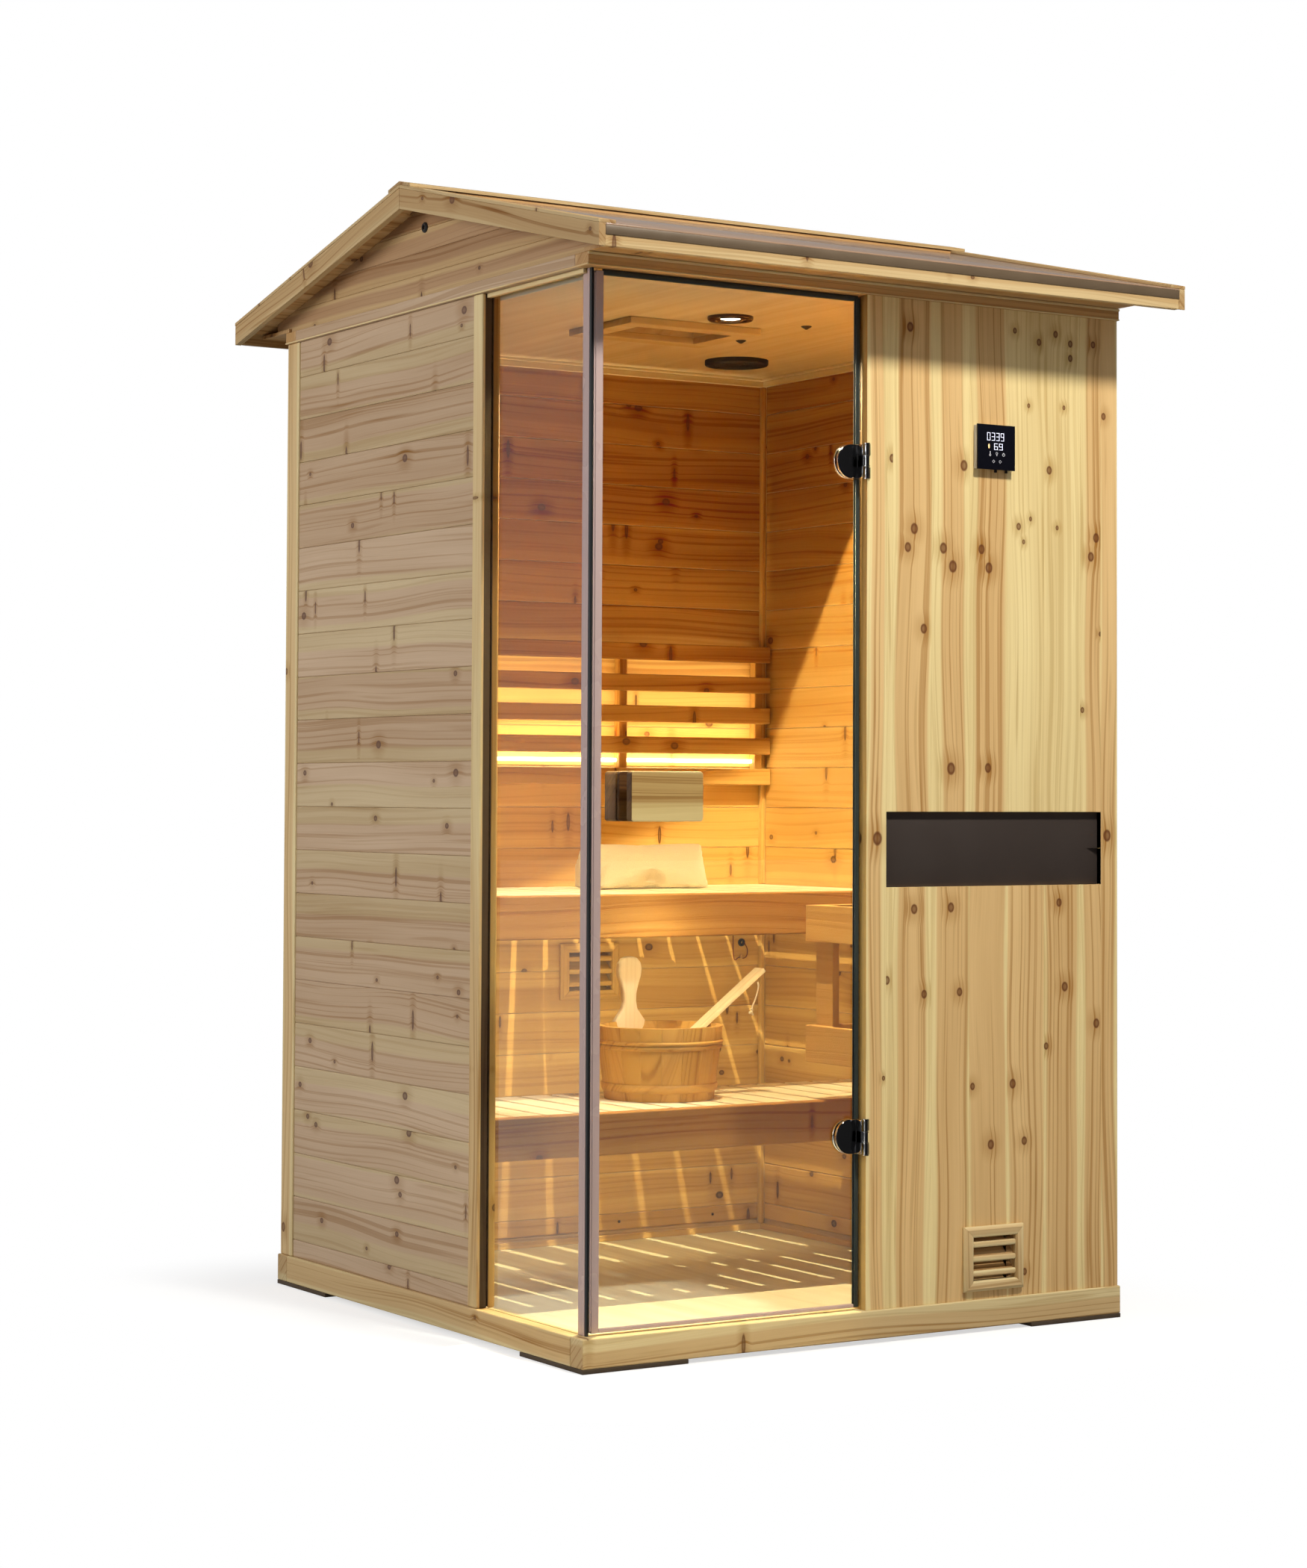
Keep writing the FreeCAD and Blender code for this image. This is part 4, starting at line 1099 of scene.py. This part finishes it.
def buildMouldings():
    wallLow, wallHigh, _ = box3("back_wall")
    left, right, back = wallLow.x, wallHigh.x, wallLow.y
    front = -back
    ceiling = box3("ceiling_panel")[0].z
    floor = box3("floor_panel")[1].z
    benchTop = box3("upper_bench_slats")[1].z
    benchUnder = box3("bench_bearers")[1].z - inside["bearerTall"]
    crown, skirt, post, step = inside["crown"], inside["skirting"], inside["corner"], inside["crownStep"]
    crowns = []
    for n, (height, depth) in enumerate(((step, 0.016), (crown - step, 0.009))):
        top = ceiling - n * step
        crowns.append(bar((left, back - depth, top - height), (right, back, top), 0.0015))
        for wall, side in ((right, -1), (left, 1)):
            ends = sorted((wall, wall + side * depth))
            crowns.append(bar((ends[0], front, top - height), (ends[1], back - depth, top), 0.0015))
    low = [bar((left, back - 0.007, floor), (right, back, floor + skirt), 0.0015),
           bar((right - 0.007, front, floor), (right, back - 0.007, floor + skirt), 0.0015)]
    low += [bar((right - post, back - post, bottom), (right, back, top), 0.003)
            for bottom, top in ((floor + skirt, benchUnder), (benchTop + 0.001, ceiling - crown))]
    for name, parts, shade, material in (("crownMouldings", crowns, 0.6, "insideSmooth"),
                                         ("wallMouldings", low, 1.0, "inside")):
        grained = [layGrain(part, grainOf(part), knotRate=0, shade=shade) for part in parts]
        finish(gather(grained), name, "cabin", wood[material])


vents = {"border": 0.0215, "lip": 0.006, "rise": 0.010, "blades": 3, "bladeTall": 0.012, "bladeBack": 0.003,
         "louvreDeep": 0.026, "louvreRise": 0.024, "louvreThick": 0.003}


def buildVent(node, material, louvreMaterial):
    # a mitred picture frame round rounded blades, with a sloping louvre behind each
    low, high, _ = box3(node)
    border, thick = vents["border"], high.y - low.y
    tall, slim = vents["bladeTall"] / 2, vents["louvreThick"]
    profile = [(0.0, 0.0), (0.0, vents["lip"]), (vents["rise"] * 0.6, thick), (border - 0.002, thick),
               (border, thick - 0.003), (border, 0.0)]
    corners = [(low.x, low.z), (high.x, low.z), (high.x, high.z), (low.x, high.z)]
    parts = []
    for number in range(4):
        (x0, z0), (x1, z1) = corners[number], corners[(number + 1) % 4]
        run = Vector((x1 - x0, 0, z1 - z0)).normalized()
        inward = Vector((-run.z, 0, run.x))
        bm = bmesh.new()
        ends = []
        for (x, z), way in (((x0, z0), 1), ((x1, z1), -1)):
            ends.append([bm.verts.new(Vector((x, high.y - rise, z)) + inward * across + run * across * way)
                         for across, rise in profile])
        for n in range(len(profile)):
            m = (n + 1) % len(profile)
            bm.faces.new((ends[0][n], ends[0][m], ends[1][m], ends[1][n]))
        bm.faces.new(ends[0])
        bm.faces.new(ends[1][::-1])
        bmesh.ops.recalc_face_normals(bm, faces=bm.faces)
        soften(bm, 0.0008, 2)
        parts.append(layGrain(bm, run, knotRate=0, shade=0.55))
    left, right = low.x + border - 0.001, high.x - border + 0.001
    bottom, top = low.z + border, high.z - border
    pitch = (top - bottom) / vents["blades"]
    for number in range(vents["blades"]):
        level = bottom + (number + 0.5) * pitch
        blade = bar((left, low.y + vents["bladeBack"], level - tall), (right, high.y - 0.001, level + tall),
                    0.004, 4)
        parts.append(layGrain(blade, (1, 0, 0), knotRate=0))
    surround = finish(gather(parts), node + "Frame", "cabin", material, 35)
    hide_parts(node)
    louvres = []
    for number in range(-1, vents["blades"]):
        level = bottom + (number + 0.5) * pitch + tall - slim
        bm = block((left + 0.002, high.y + 0.001, level),
                   (right - 0.002, high.y + 0.001 + vents["louvreDeep"], level + slim))
        for vert in bm.verts:
            if vert.co.y > high.y + 0.01:
                vert.co.z = min(vert.co.z + vents["louvreRise"], top - 0.0005)
        bmesh.ops.recalc_face_normals(bm, faces=bm.faces)
        louvres.append(layGrain(bm, (1, 0, 0), knotRate=0))
    finish(gather(louvres), node + "Louvres", "cabin", louvreMaterial)


def buildLamp():
    low, high, middle = box3("ceiling_light")
    radius, depth = (high.x - low.x) / 2, high.z - low.z
    # rings turned from shares of the lamp's radius and depth
    profiles = {"lampRing": [(0.66, 1), (0.66, 0.35), (0.72, 0), (0.94, 0), (1, 0.35), (1, 1)],
                "lampReflector": [(0, 0.9), (0, 0.55), (0.44, 0.55), (0.65, 0.3), (0.65, 0.9)],
                "lampLens": [(0, 0.52), (0, 0.3), (0.3, 0.34), (0.43, 0.5)]}
    looks = {"lampRing": ("lampRing", "black_plastic"), "lampReflector": ("reflector", "lamp_glass"),
             "lampLens": ("lampGlow", "lamp_glass")}
    for name, profile in profiles.items():
        ring = lathe([(max(radius * out, 0.0005), depth * up) for out, up in profile],
                     (middle.x, middle.y, low.z), 64)
        material, slotName = looks[name]
        piece = finish(ring, name, "cabin", finishes[material], 30)
    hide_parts("ceiling_light")


def buildSpeaker():
    low, high, middle = box3("ceiling_speaker")
    radius, depth = (high.x - low.x) / 2, high.z - low.z
    rings = [(0.0005, depth), (0.0005, depth * 0.25)]
    for share in (0.2, 0.35, 0.5, 0.65, 0.8):
        rings += [(radius * share, depth * 0.2), (radius * (share + 0.03), depth * 0.32),
                  (radius * (share + 0.1), depth * 0.32)]
    rings += [(radius * 0.93, 0.0), (radius * 0.97, 0.0), (radius, depth * 0.2), (radius, depth)]
    piece = finish(lathe(rings, (middle.x, middle.y, low.z), 72), "speakerGrille", "cabin",
                   finishes["blackPlastic"], 30)
    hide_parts("ceiling_speaker")


def buildSensors():
    # two small black cones hang from the ceiling
    ceiling = box3("ceiling_panel")[0].z
    profile = [(0.0005, -0.007), (0.002, -0.007), (0.0115, -0.0012), (0.0115, 0.0), (0.0005, 0.0)]
    parts = [lathe(profile, (*spot, ceiling), 24) for spot in inside["sensors"]]
    finish(gather(parts), "ceilingSensors", "cabin", finishes["blackPlastic"], 30)


def buildScrews():
    # screw heads near the foot of the inner walls
    back = box3("back_wall")[0].y
    profile = [(0.0002, 0.0), (0.0035, 0.0), (0.003, 0.0012), (0.0002, 0.0014)]
    parts = [turnTo(lathe(profile, (0, 0, 0), 12), 90, "X", (x, back, inside["screwHeight"]))
             for x in inside["screws"]]
    finish(gather(parts), "wallScrews", "cabin", finishes["screwHead"], 30)


buildRoom()
buildVent("back_vent", wood["inside"], wood["inside"])
buildVent("front_vent", wood["paleTrim"], wood["railWood"])
buildMouldings()
buildLamp()
buildSpeaker()
buildSensors()
buildScrews()
print("inside built")


# Bucket and ladle

bucket = {"rim": 0.136, "foot": 0.117, "height": 0.156, "wall": 0.014, "staves": 18, "steps": 3,
          "hoops": {"upperHoop": (0.108, 0.127, 2), "lowerHoop": (0.018, 0.036, 1)}, "hoopRise": 0.0042,
          "handleHead": 0.0305, "handleNeck": 0.016, "handleFoot": 0.042, "handleThick": 0.018}


def radiusAt(level):
    return bucket["foot"] + (bucket["rim"] - bucket["foot"]) * level / bucket["height"]


def buildStaves(centre):
    height, wall = bucket["height"], bucket["wall"]
    staves = []
    turn = math.tau / bucket["staves"]
    for number in range(bucket["staves"]):
        bm = bmesh.new()
        rings = []
        for step in range(bucket["steps"] + 1):
            angle = turn * (number + step / bucket["steps"])
            way = Vector((math.cos(angle), math.sin(angle), 0))
            rings.append([bm.verts.new(centre + way * (radiusAt(level) - inward) + Vector((0, 0, level)))
                          for level, inward in ((0, 0), (height, 0), (height, wall), (0, wall))])
        for one, two in zip(rings, rings[1:]):
            for a in range(4):
                bm.faces.new((one[a], one[(a + 1) % 4], two[(a + 1) % 4], two[a]))
        bm.faces.new(rings[0])
        bm.faces.new(rings[-1][::-1])
        bmesh.ops.recalc_face_normals(bm, faces=bm.faces)
        soften(bm, 0.0009, 2, 50)
        heart = (dice.uniform(-0.2, 0.2), dice.uniform(0.02, 0.2))
        staves.append(layGrain(bm, (0, 0, 1), heart=heart, knotRate=0))
    piece = finish(gather(staves), "bucketStaves", "cabin", wood["bucketWood"], 30)
    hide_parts("bucket")
    inner = radiusAt(wall) - wall
    base = lathe([(0.0005, wall), (0.0005, 0.003), (inner, 0.003), (inner, wall)], centre, 48)
    finish(layGrain(base, (1, 0, 0), knotRate=0), "bucketBase", "cabin", wood["bucketWood"])


def buildHoops(centre):
    # wooden hoops with one or two round beads
    for name, (bottom, top, beads) in bucket["hoops"].items():
        profile = []
        each = (top - bottom) / beads
        for bead in range(beads):
            for step in range(7):
                angle = math.pi * (step / 6 - 0.5)
                level = bottom + each * (bead + 0.5 + 0.5 * math.sin(angle))
                profile.append((radiusAt(level) + 0.0005 + bucket["hoopRise"] * math.cos(angle), level))
        profile += [(radiusAt(top) - 0.001, top), (radiusAt(bottom) - 0.001, bottom)]
        hoop = layGrain(lathe(profile, centre, 96), (1, 0, 0), knotRate=0, shade=0.7)
        piece = finish(hoop, name, "cabin", wood["bucketWood"], 40)
        piece.data.attributes["endCut"].data.foreach_set("value", [0.0] * len(piece.data.polygons))


def buildBucketHandle(centre, rise):
    # the tall stave that serves as a handle: a rounded head, a slim neck and a wide foot
    height = bucket["height"]
    head, neck, foot = bucket["handleHead"], bucket["handleNeck"], bucket["handleFoot"]
    outline = [(foot, height - 0.03), (foot - 0.003, height + 0.001), (foot * 0.7, height + 0.013),
               (neck + 0.0035, height + 0.027), (neck, height + 0.044), (neck + 0.001, height + 0.06),
               (neck + 0.006, height + 0.08), (head - 0.0025, rise - 0.044), (head, rise - 0.028),
               (head - 0.003, rise - 0.014), (0.018, rise - 0.0035), (0.008, rise - 0.0005), (0.0, rise)]
    back = centre.y + radiusAt(height) - 0.002
    front = back - bucket["handleThick"]
    bm = bmesh.new()
    ring = [bm.verts.new((centre.x - x, front, centre.z + z)) for x, z in outline]
    ring += [bm.verts.new((centre.x + x, front, centre.z + z)) for x, z in outline[-2::-1]]
    made = bmesh.ops.extrude_face_region(bm, geom=[bm.faces.new(ring)])
    moved = [g for g in made["geom"] if isinstance(g, bmesh.types.BMVert)]
    bmesh.ops.translate(bm, vec=(0, back - front, 0), verts=moved)
    bmesh.ops.recalc_face_normals(bm, faces=bm.faces)
    soften(bm, 0.006, 4, 60)
    finish(layGrain(bm, (0, 0, 1), heart=(0.0, 0.012), knotRate=0, shade=-2.5), "bucketHandle", "cabin",
           wood["insidePale"], 50)


def buildBucket():
    low, high, middle = box3("bucket")
    centre = Vector((middle.x, middle.y, low.z))
    buildStaves(centre)
    buildHoops(centre)
    buildBucketHandle(centre, high.z - low.z)


# the string at the end of the ladle's handle, from where it leaves the wood, and the lumps of its knot:
# place, radius and tilt
ladle = {"exit": (-0.022, -0.0185, -0.03), "stringRadius": 0.0018,
         "route": ((0, 0, 0), (-0.001, -0.006, -0.006), (-0.006, -0.007, -0.024), (-0.013, -0.006, -0.042),
                   (-0.02, -0.006, -0.056)),
         "lumps": (((0, 0, -0.002), 0.0045, 20), ((-0.003, -0.001, -0.008), 0.0055, -35),
                   ((0.002, 0.0, -0.012), 0.004, 60))}


def buildLadle():
    parts = []
    for bm in solidsOf("ladle"):
        longest = max(bm.edges, key=lambda e: e.calc_length())
        grain = longest.verts[1].co - longest.verts[0].co
        soften(bm, 0.003, 3, 50)
        parts.append(layGrain(bm, grain, knotRate=0, shade=0.9))
    piece = finish(gather(parts), "ladleWood", "cabin", wood["insidePale"], 40)
    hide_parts("ladle")
    _, high, middle = box3("ladle")
    exitPoint = Vector((high.x, middle.y, high.z)) + Vector(ladle["exit"])
    route = [exitPoint + Vector(offset) for offset in ladle["route"]]
    string, length = cordThrough("ladleString", route, ladle["stringRadius"], 4, finishes["string"])
    parts = []
    for offset, size, tilt in ladle["lumps"]:
        bm = bmesh.new()
        bmesh.ops.create_uvsphere(bm, u_segments=16, v_segments=10, radius=size)
        bmesh.ops.scale(bm, vec=(1.0, 0.8, 0.65), verts=bm.verts)
        parts.append(turnTo(bm, tilt, "Y", route[-1] + Vector(offset)))
    knot = finish(gather(parts), "stringKnot", "cabin", finishes["string"], 60)


buildBucket()
buildLadle()
print("bucket and ladle built")


# Headrest

headrest = {"shrink": 0.96, "voxel": 0.006, "mass": 0.3, "pressure": 4.0, "stretch": 30, "bending": 2.0,
            "frames": 20, "most": 0.014}


def settled(pad):
    # the pad's mesh as its modifiers show it now
    mesh = bpy.data.meshes.new_from_object(pad.evaluated_get(bpy.context.evaluated_depsgraph_get()))
    pad.modifiers.clear()
    return mesh


def buildHeadrest():
    # a pad of towelling, blown up as cloth from the CAD solid and taken as it settles
    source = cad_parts["headrest"].data.copy()
    pad = bpy.data.objects.new("headrestPad", source)
    bpy.context.scene.collection.objects.link(pad)
    bm = bmesh.new()
    bm.from_mesh(source)
    bmesh.ops.remove_doubles(bm, verts=bm.verts, dist=1e-5)
    low, _, middle = box3("headrest")
    for vert in bm.verts:
        vert.co = middle + (vert.co - middle) * headrest["shrink"]
    bmesh.ops.recalc_face_normals(bm, faces=bm.faces)
    bm.to_mesh(source)
    bm.free()
    bpy.context.view_layer.objects.active = pad
    pad.select_set(True)
    remesh = pad.modifiers.new("remesh", "REMESH")
    remesh.mode = "VOXEL"
    remesh.voxel_size = headrest["voxel"]
    pad.data = settled(pad)
    start = [v.co.copy() for v in pad.data.vertices]
    cloth = pad.modifiers.new("cloth", "CLOTH")
    cloth.settings.quality = 5
    cloth.settings.mass = headrest["mass"]
    cloth.settings.use_pressure = True
    cloth.settings.uniform_pressure_force = headrest["pressure"]
    cloth.settings.effector_weights.gravity = 0.0
    cloth.settings.tension_stiffness = headrest["stretch"]
    cloth.settings.compression_stiffness = headrest["stretch"]
    cloth.settings.bending_stiffness = headrest["bending"]
    cloth.point_cache.frame_start = 1
    cloth.point_cache.frame_end = headrest["frames"]
    scene = bpy.context.scene
    for number in range(1, headrest["frames"] + 1):
        scene.frame_set(number)
    puffed = settled(pad)
    scene.frame_set(1)
    # no place moves out by more than the cover gives, and the pad keeps its flat foot
    for vert, origin in zip(puffed.vertices, start):
        move = vert.co - origin
        if move.length > headrest["most"]:
            move *= headrest["most"] / move.length
        spot = origin + move
        spot.z = max(spot.z, low.z)
        vert.co = spot
    pad.data = puffed
    puffed.materials.clear()
    puffed.materials.append(finishes["towelling"])
    puffed.shade_smooth()
    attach(pad, "cabin")
    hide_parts("headrest")


buildHeadrest()
print("headrest built")


# Control panel

# rows of digits as text, place and size; strokes and rings of the icons: places from the upper left corner
panel = {"glass": 0.003, "step": 0.0015, "gap": 0.0032, "bar": 0.0015, "trim": 0.0003,
         "rows": (("0339", (0.0245, 0.0165), (0.0085, 0.0165)), ("69", (0.0425, 0.038), (0.0095, 0.0135))),
         "rings": ((0.0495, 0.0585, 0.0026, 20), (0.067, 0.0605, 0.0032, 20), (0.0325, 0.0625, 0.0022, 20),
                   (0.0413, 0.075, 0.0034, 4), (0.0583, 0.075, 0.0034, 4)),
         "strokes": ((0.0319, 0.0545, 0.0012, 0.006), (0.0487, 0.0615, 0.0016, 0.0022),
                     (0.0666, 0.0565, 0.0008, 0.003)),
         "flame": (0.0295, 0.0445), "flameSize": (0.0021, 0.0006, 0.0052), "stubs": (0.55, 0.83)}
segments = {"0": "abcdef", "3": "abcdg", "6": "acdefg", "9": "abcdfg"}


def digitStrokes(letter, size):
    # the bars of a digit as right, down, width and height
    wide, tall = size
    thick, half, trim = panel["bar"], tall / 2, panel["trim"]
    right, foot = wide - thick, tall - thick
    strokes = {"a": (0, 0, wide, thick), "g": (0, half - thick / 2, wide, thick),
               "d": (0, foot, wide, thick), "f": (0, 0, thick, half), "b": (right, 0, thick, half),
               "e": (0, half, thick, half), "c": (right, half, thick, half)}
    for key in segments[letter]:
        across, down, width, height = strokes[key]
        yield across + trim, down + trim, width - 2 * trim, height - 2 * trim


def buildPanel():
    low, high, _ = box3("control_panel")
    step, glass = panel["step"], panel["glass"]
    case = bar((low.x + step, low.y + glass, low.z + step), (high.x - step, high.y, high.z - step), 0.0015)
    finish(case, "panelCase", "cabin", finishes["panelSide"], 30)
    pane = bar((low.x, low.y, low.z), (high.x, low.y + glass + 0.0004, high.z), 0.0008)
    piece = finish(pane, "panelGlass", "cabin", finishes["panelBlack"], 30)
    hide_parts("control_panel")
    front, back = low.y - 0.0003, low.y + 0.0002

    def stroke(right, down, width, height):
        x, z = low.x + right, high.z - down
        return block((x, front, z - height), (x + width, back, z))

    def ring(right, down, radius, sides):
        inner, thick = radius - 0.0006, 0.0005
        bm = lathe([(inner, 0.0), (radius, 0.0), (radius, thick), (inner, thick)], (0, 0, 0), sides)
        return turnTo(bm, 90, "X", (low.x + right, back, high.z - down))

    parts = []
    for text, (right, down), size in panel["rows"]:
        for number, letter in enumerate(text):
            start = right + number * (size[0] + panel["gap"])
            parts += [stroke(start + x, down + z, w, h) for x, z, w, h in digitStrokes(letter, size)]
    finish(gather(parts), "panelDigits", "cabin", finishes["digitGlow"])
    icons = [ring(*spot) for spot in panel["rings"]] + [stroke(*spot) for spot in panel["strokes"]]
    finish(gather(icons), "panelIcons", "cabin", finishes["iconGlow"])
    flame = bmesh.new()
    bmesh.ops.create_uvsphere(flame, u_segments=12, v_segments=8, radius=1.0)
    bmesh.ops.scale(flame, vec=panel["flameSize"], verts=flame.verts)
    right, down = panel["flame"]
    bmesh.ops.translate(flame, vec=(low.x + right, back, high.z - down), verts=flame.verts)
    finish(flame, "panelFlame", "cabin", finishes["flameGlow"], 60)
    profile = [(0.0004, 0.0), (0.003, 0.0), (0.003, 0.006), (0.0004, 0.006)]
    stubs = [lathe(profile, (low.x + (high.x - low.x) * share, high.y - 0.006, low.z - 0.0045), 16)
             for share in panel["stubs"]]
    finish(gather(stubs), "panelStubs", "cabin", finishes["blackPlastic"], 40)


buildPanel()
print("control panel built")


# Cable grommet and clip on the back wall

# the wire's route as x, distance before the wall and z
clip = {"grommet": (0.5394, 0.7259), "radius": 0.0095, "wireRadius": 0.0011,
        "route": ((0.5136, 0.004, 0.7705), (0.5125, 0.005, 0.735), (0.5135, 0.004, 0.700),
                  (0.518, 0.003, 0.681), (0.531, 0.003, 0.693), (0.545, 0.004, 0.686),
                  (0.555, 0.004, 0.697), (0.553, 0.005, 0.716), (0.5435, 0.0045, 0.7255)),
        "holder": ((0.5325, 0.687), (0.5395, 0.697)), "holderDeep": 0.007}


def buildWallGrommet():
    back = box3("back_wall")[0].y
    radius = clip["radius"]
    bm = lathe([(0.003, 0.0), (radius, 0.0), (radius * 0.95, 0.003), (0.006, 0.0045), (0.0035, 0.0045)],
               (0, 0, 0), 32)
    turnTo(bm, 90, "X", (clip["grommet"][0], back, clip["grommet"][1]))
    finish(bm, "wallGrommet", "cabin", finishes["blackRubber"], 30)
    route = [Vector((x, back - before, z)) for x, before, z in clip["route"]]
    wire, length = cordThrough("sensorWire", route, clip["wireRadius"], 3, finishes["redWire"])
    (left, bottom), (right, top) = clip["holder"]
    holder = finish(bar((left, back - clip["holderDeep"], bottom), (right, back, top), 0.0015), "wireClip",
                    "cabin", finishes["brightRim"], 30)


buildWallGrommet()
print("wire and grommet built")
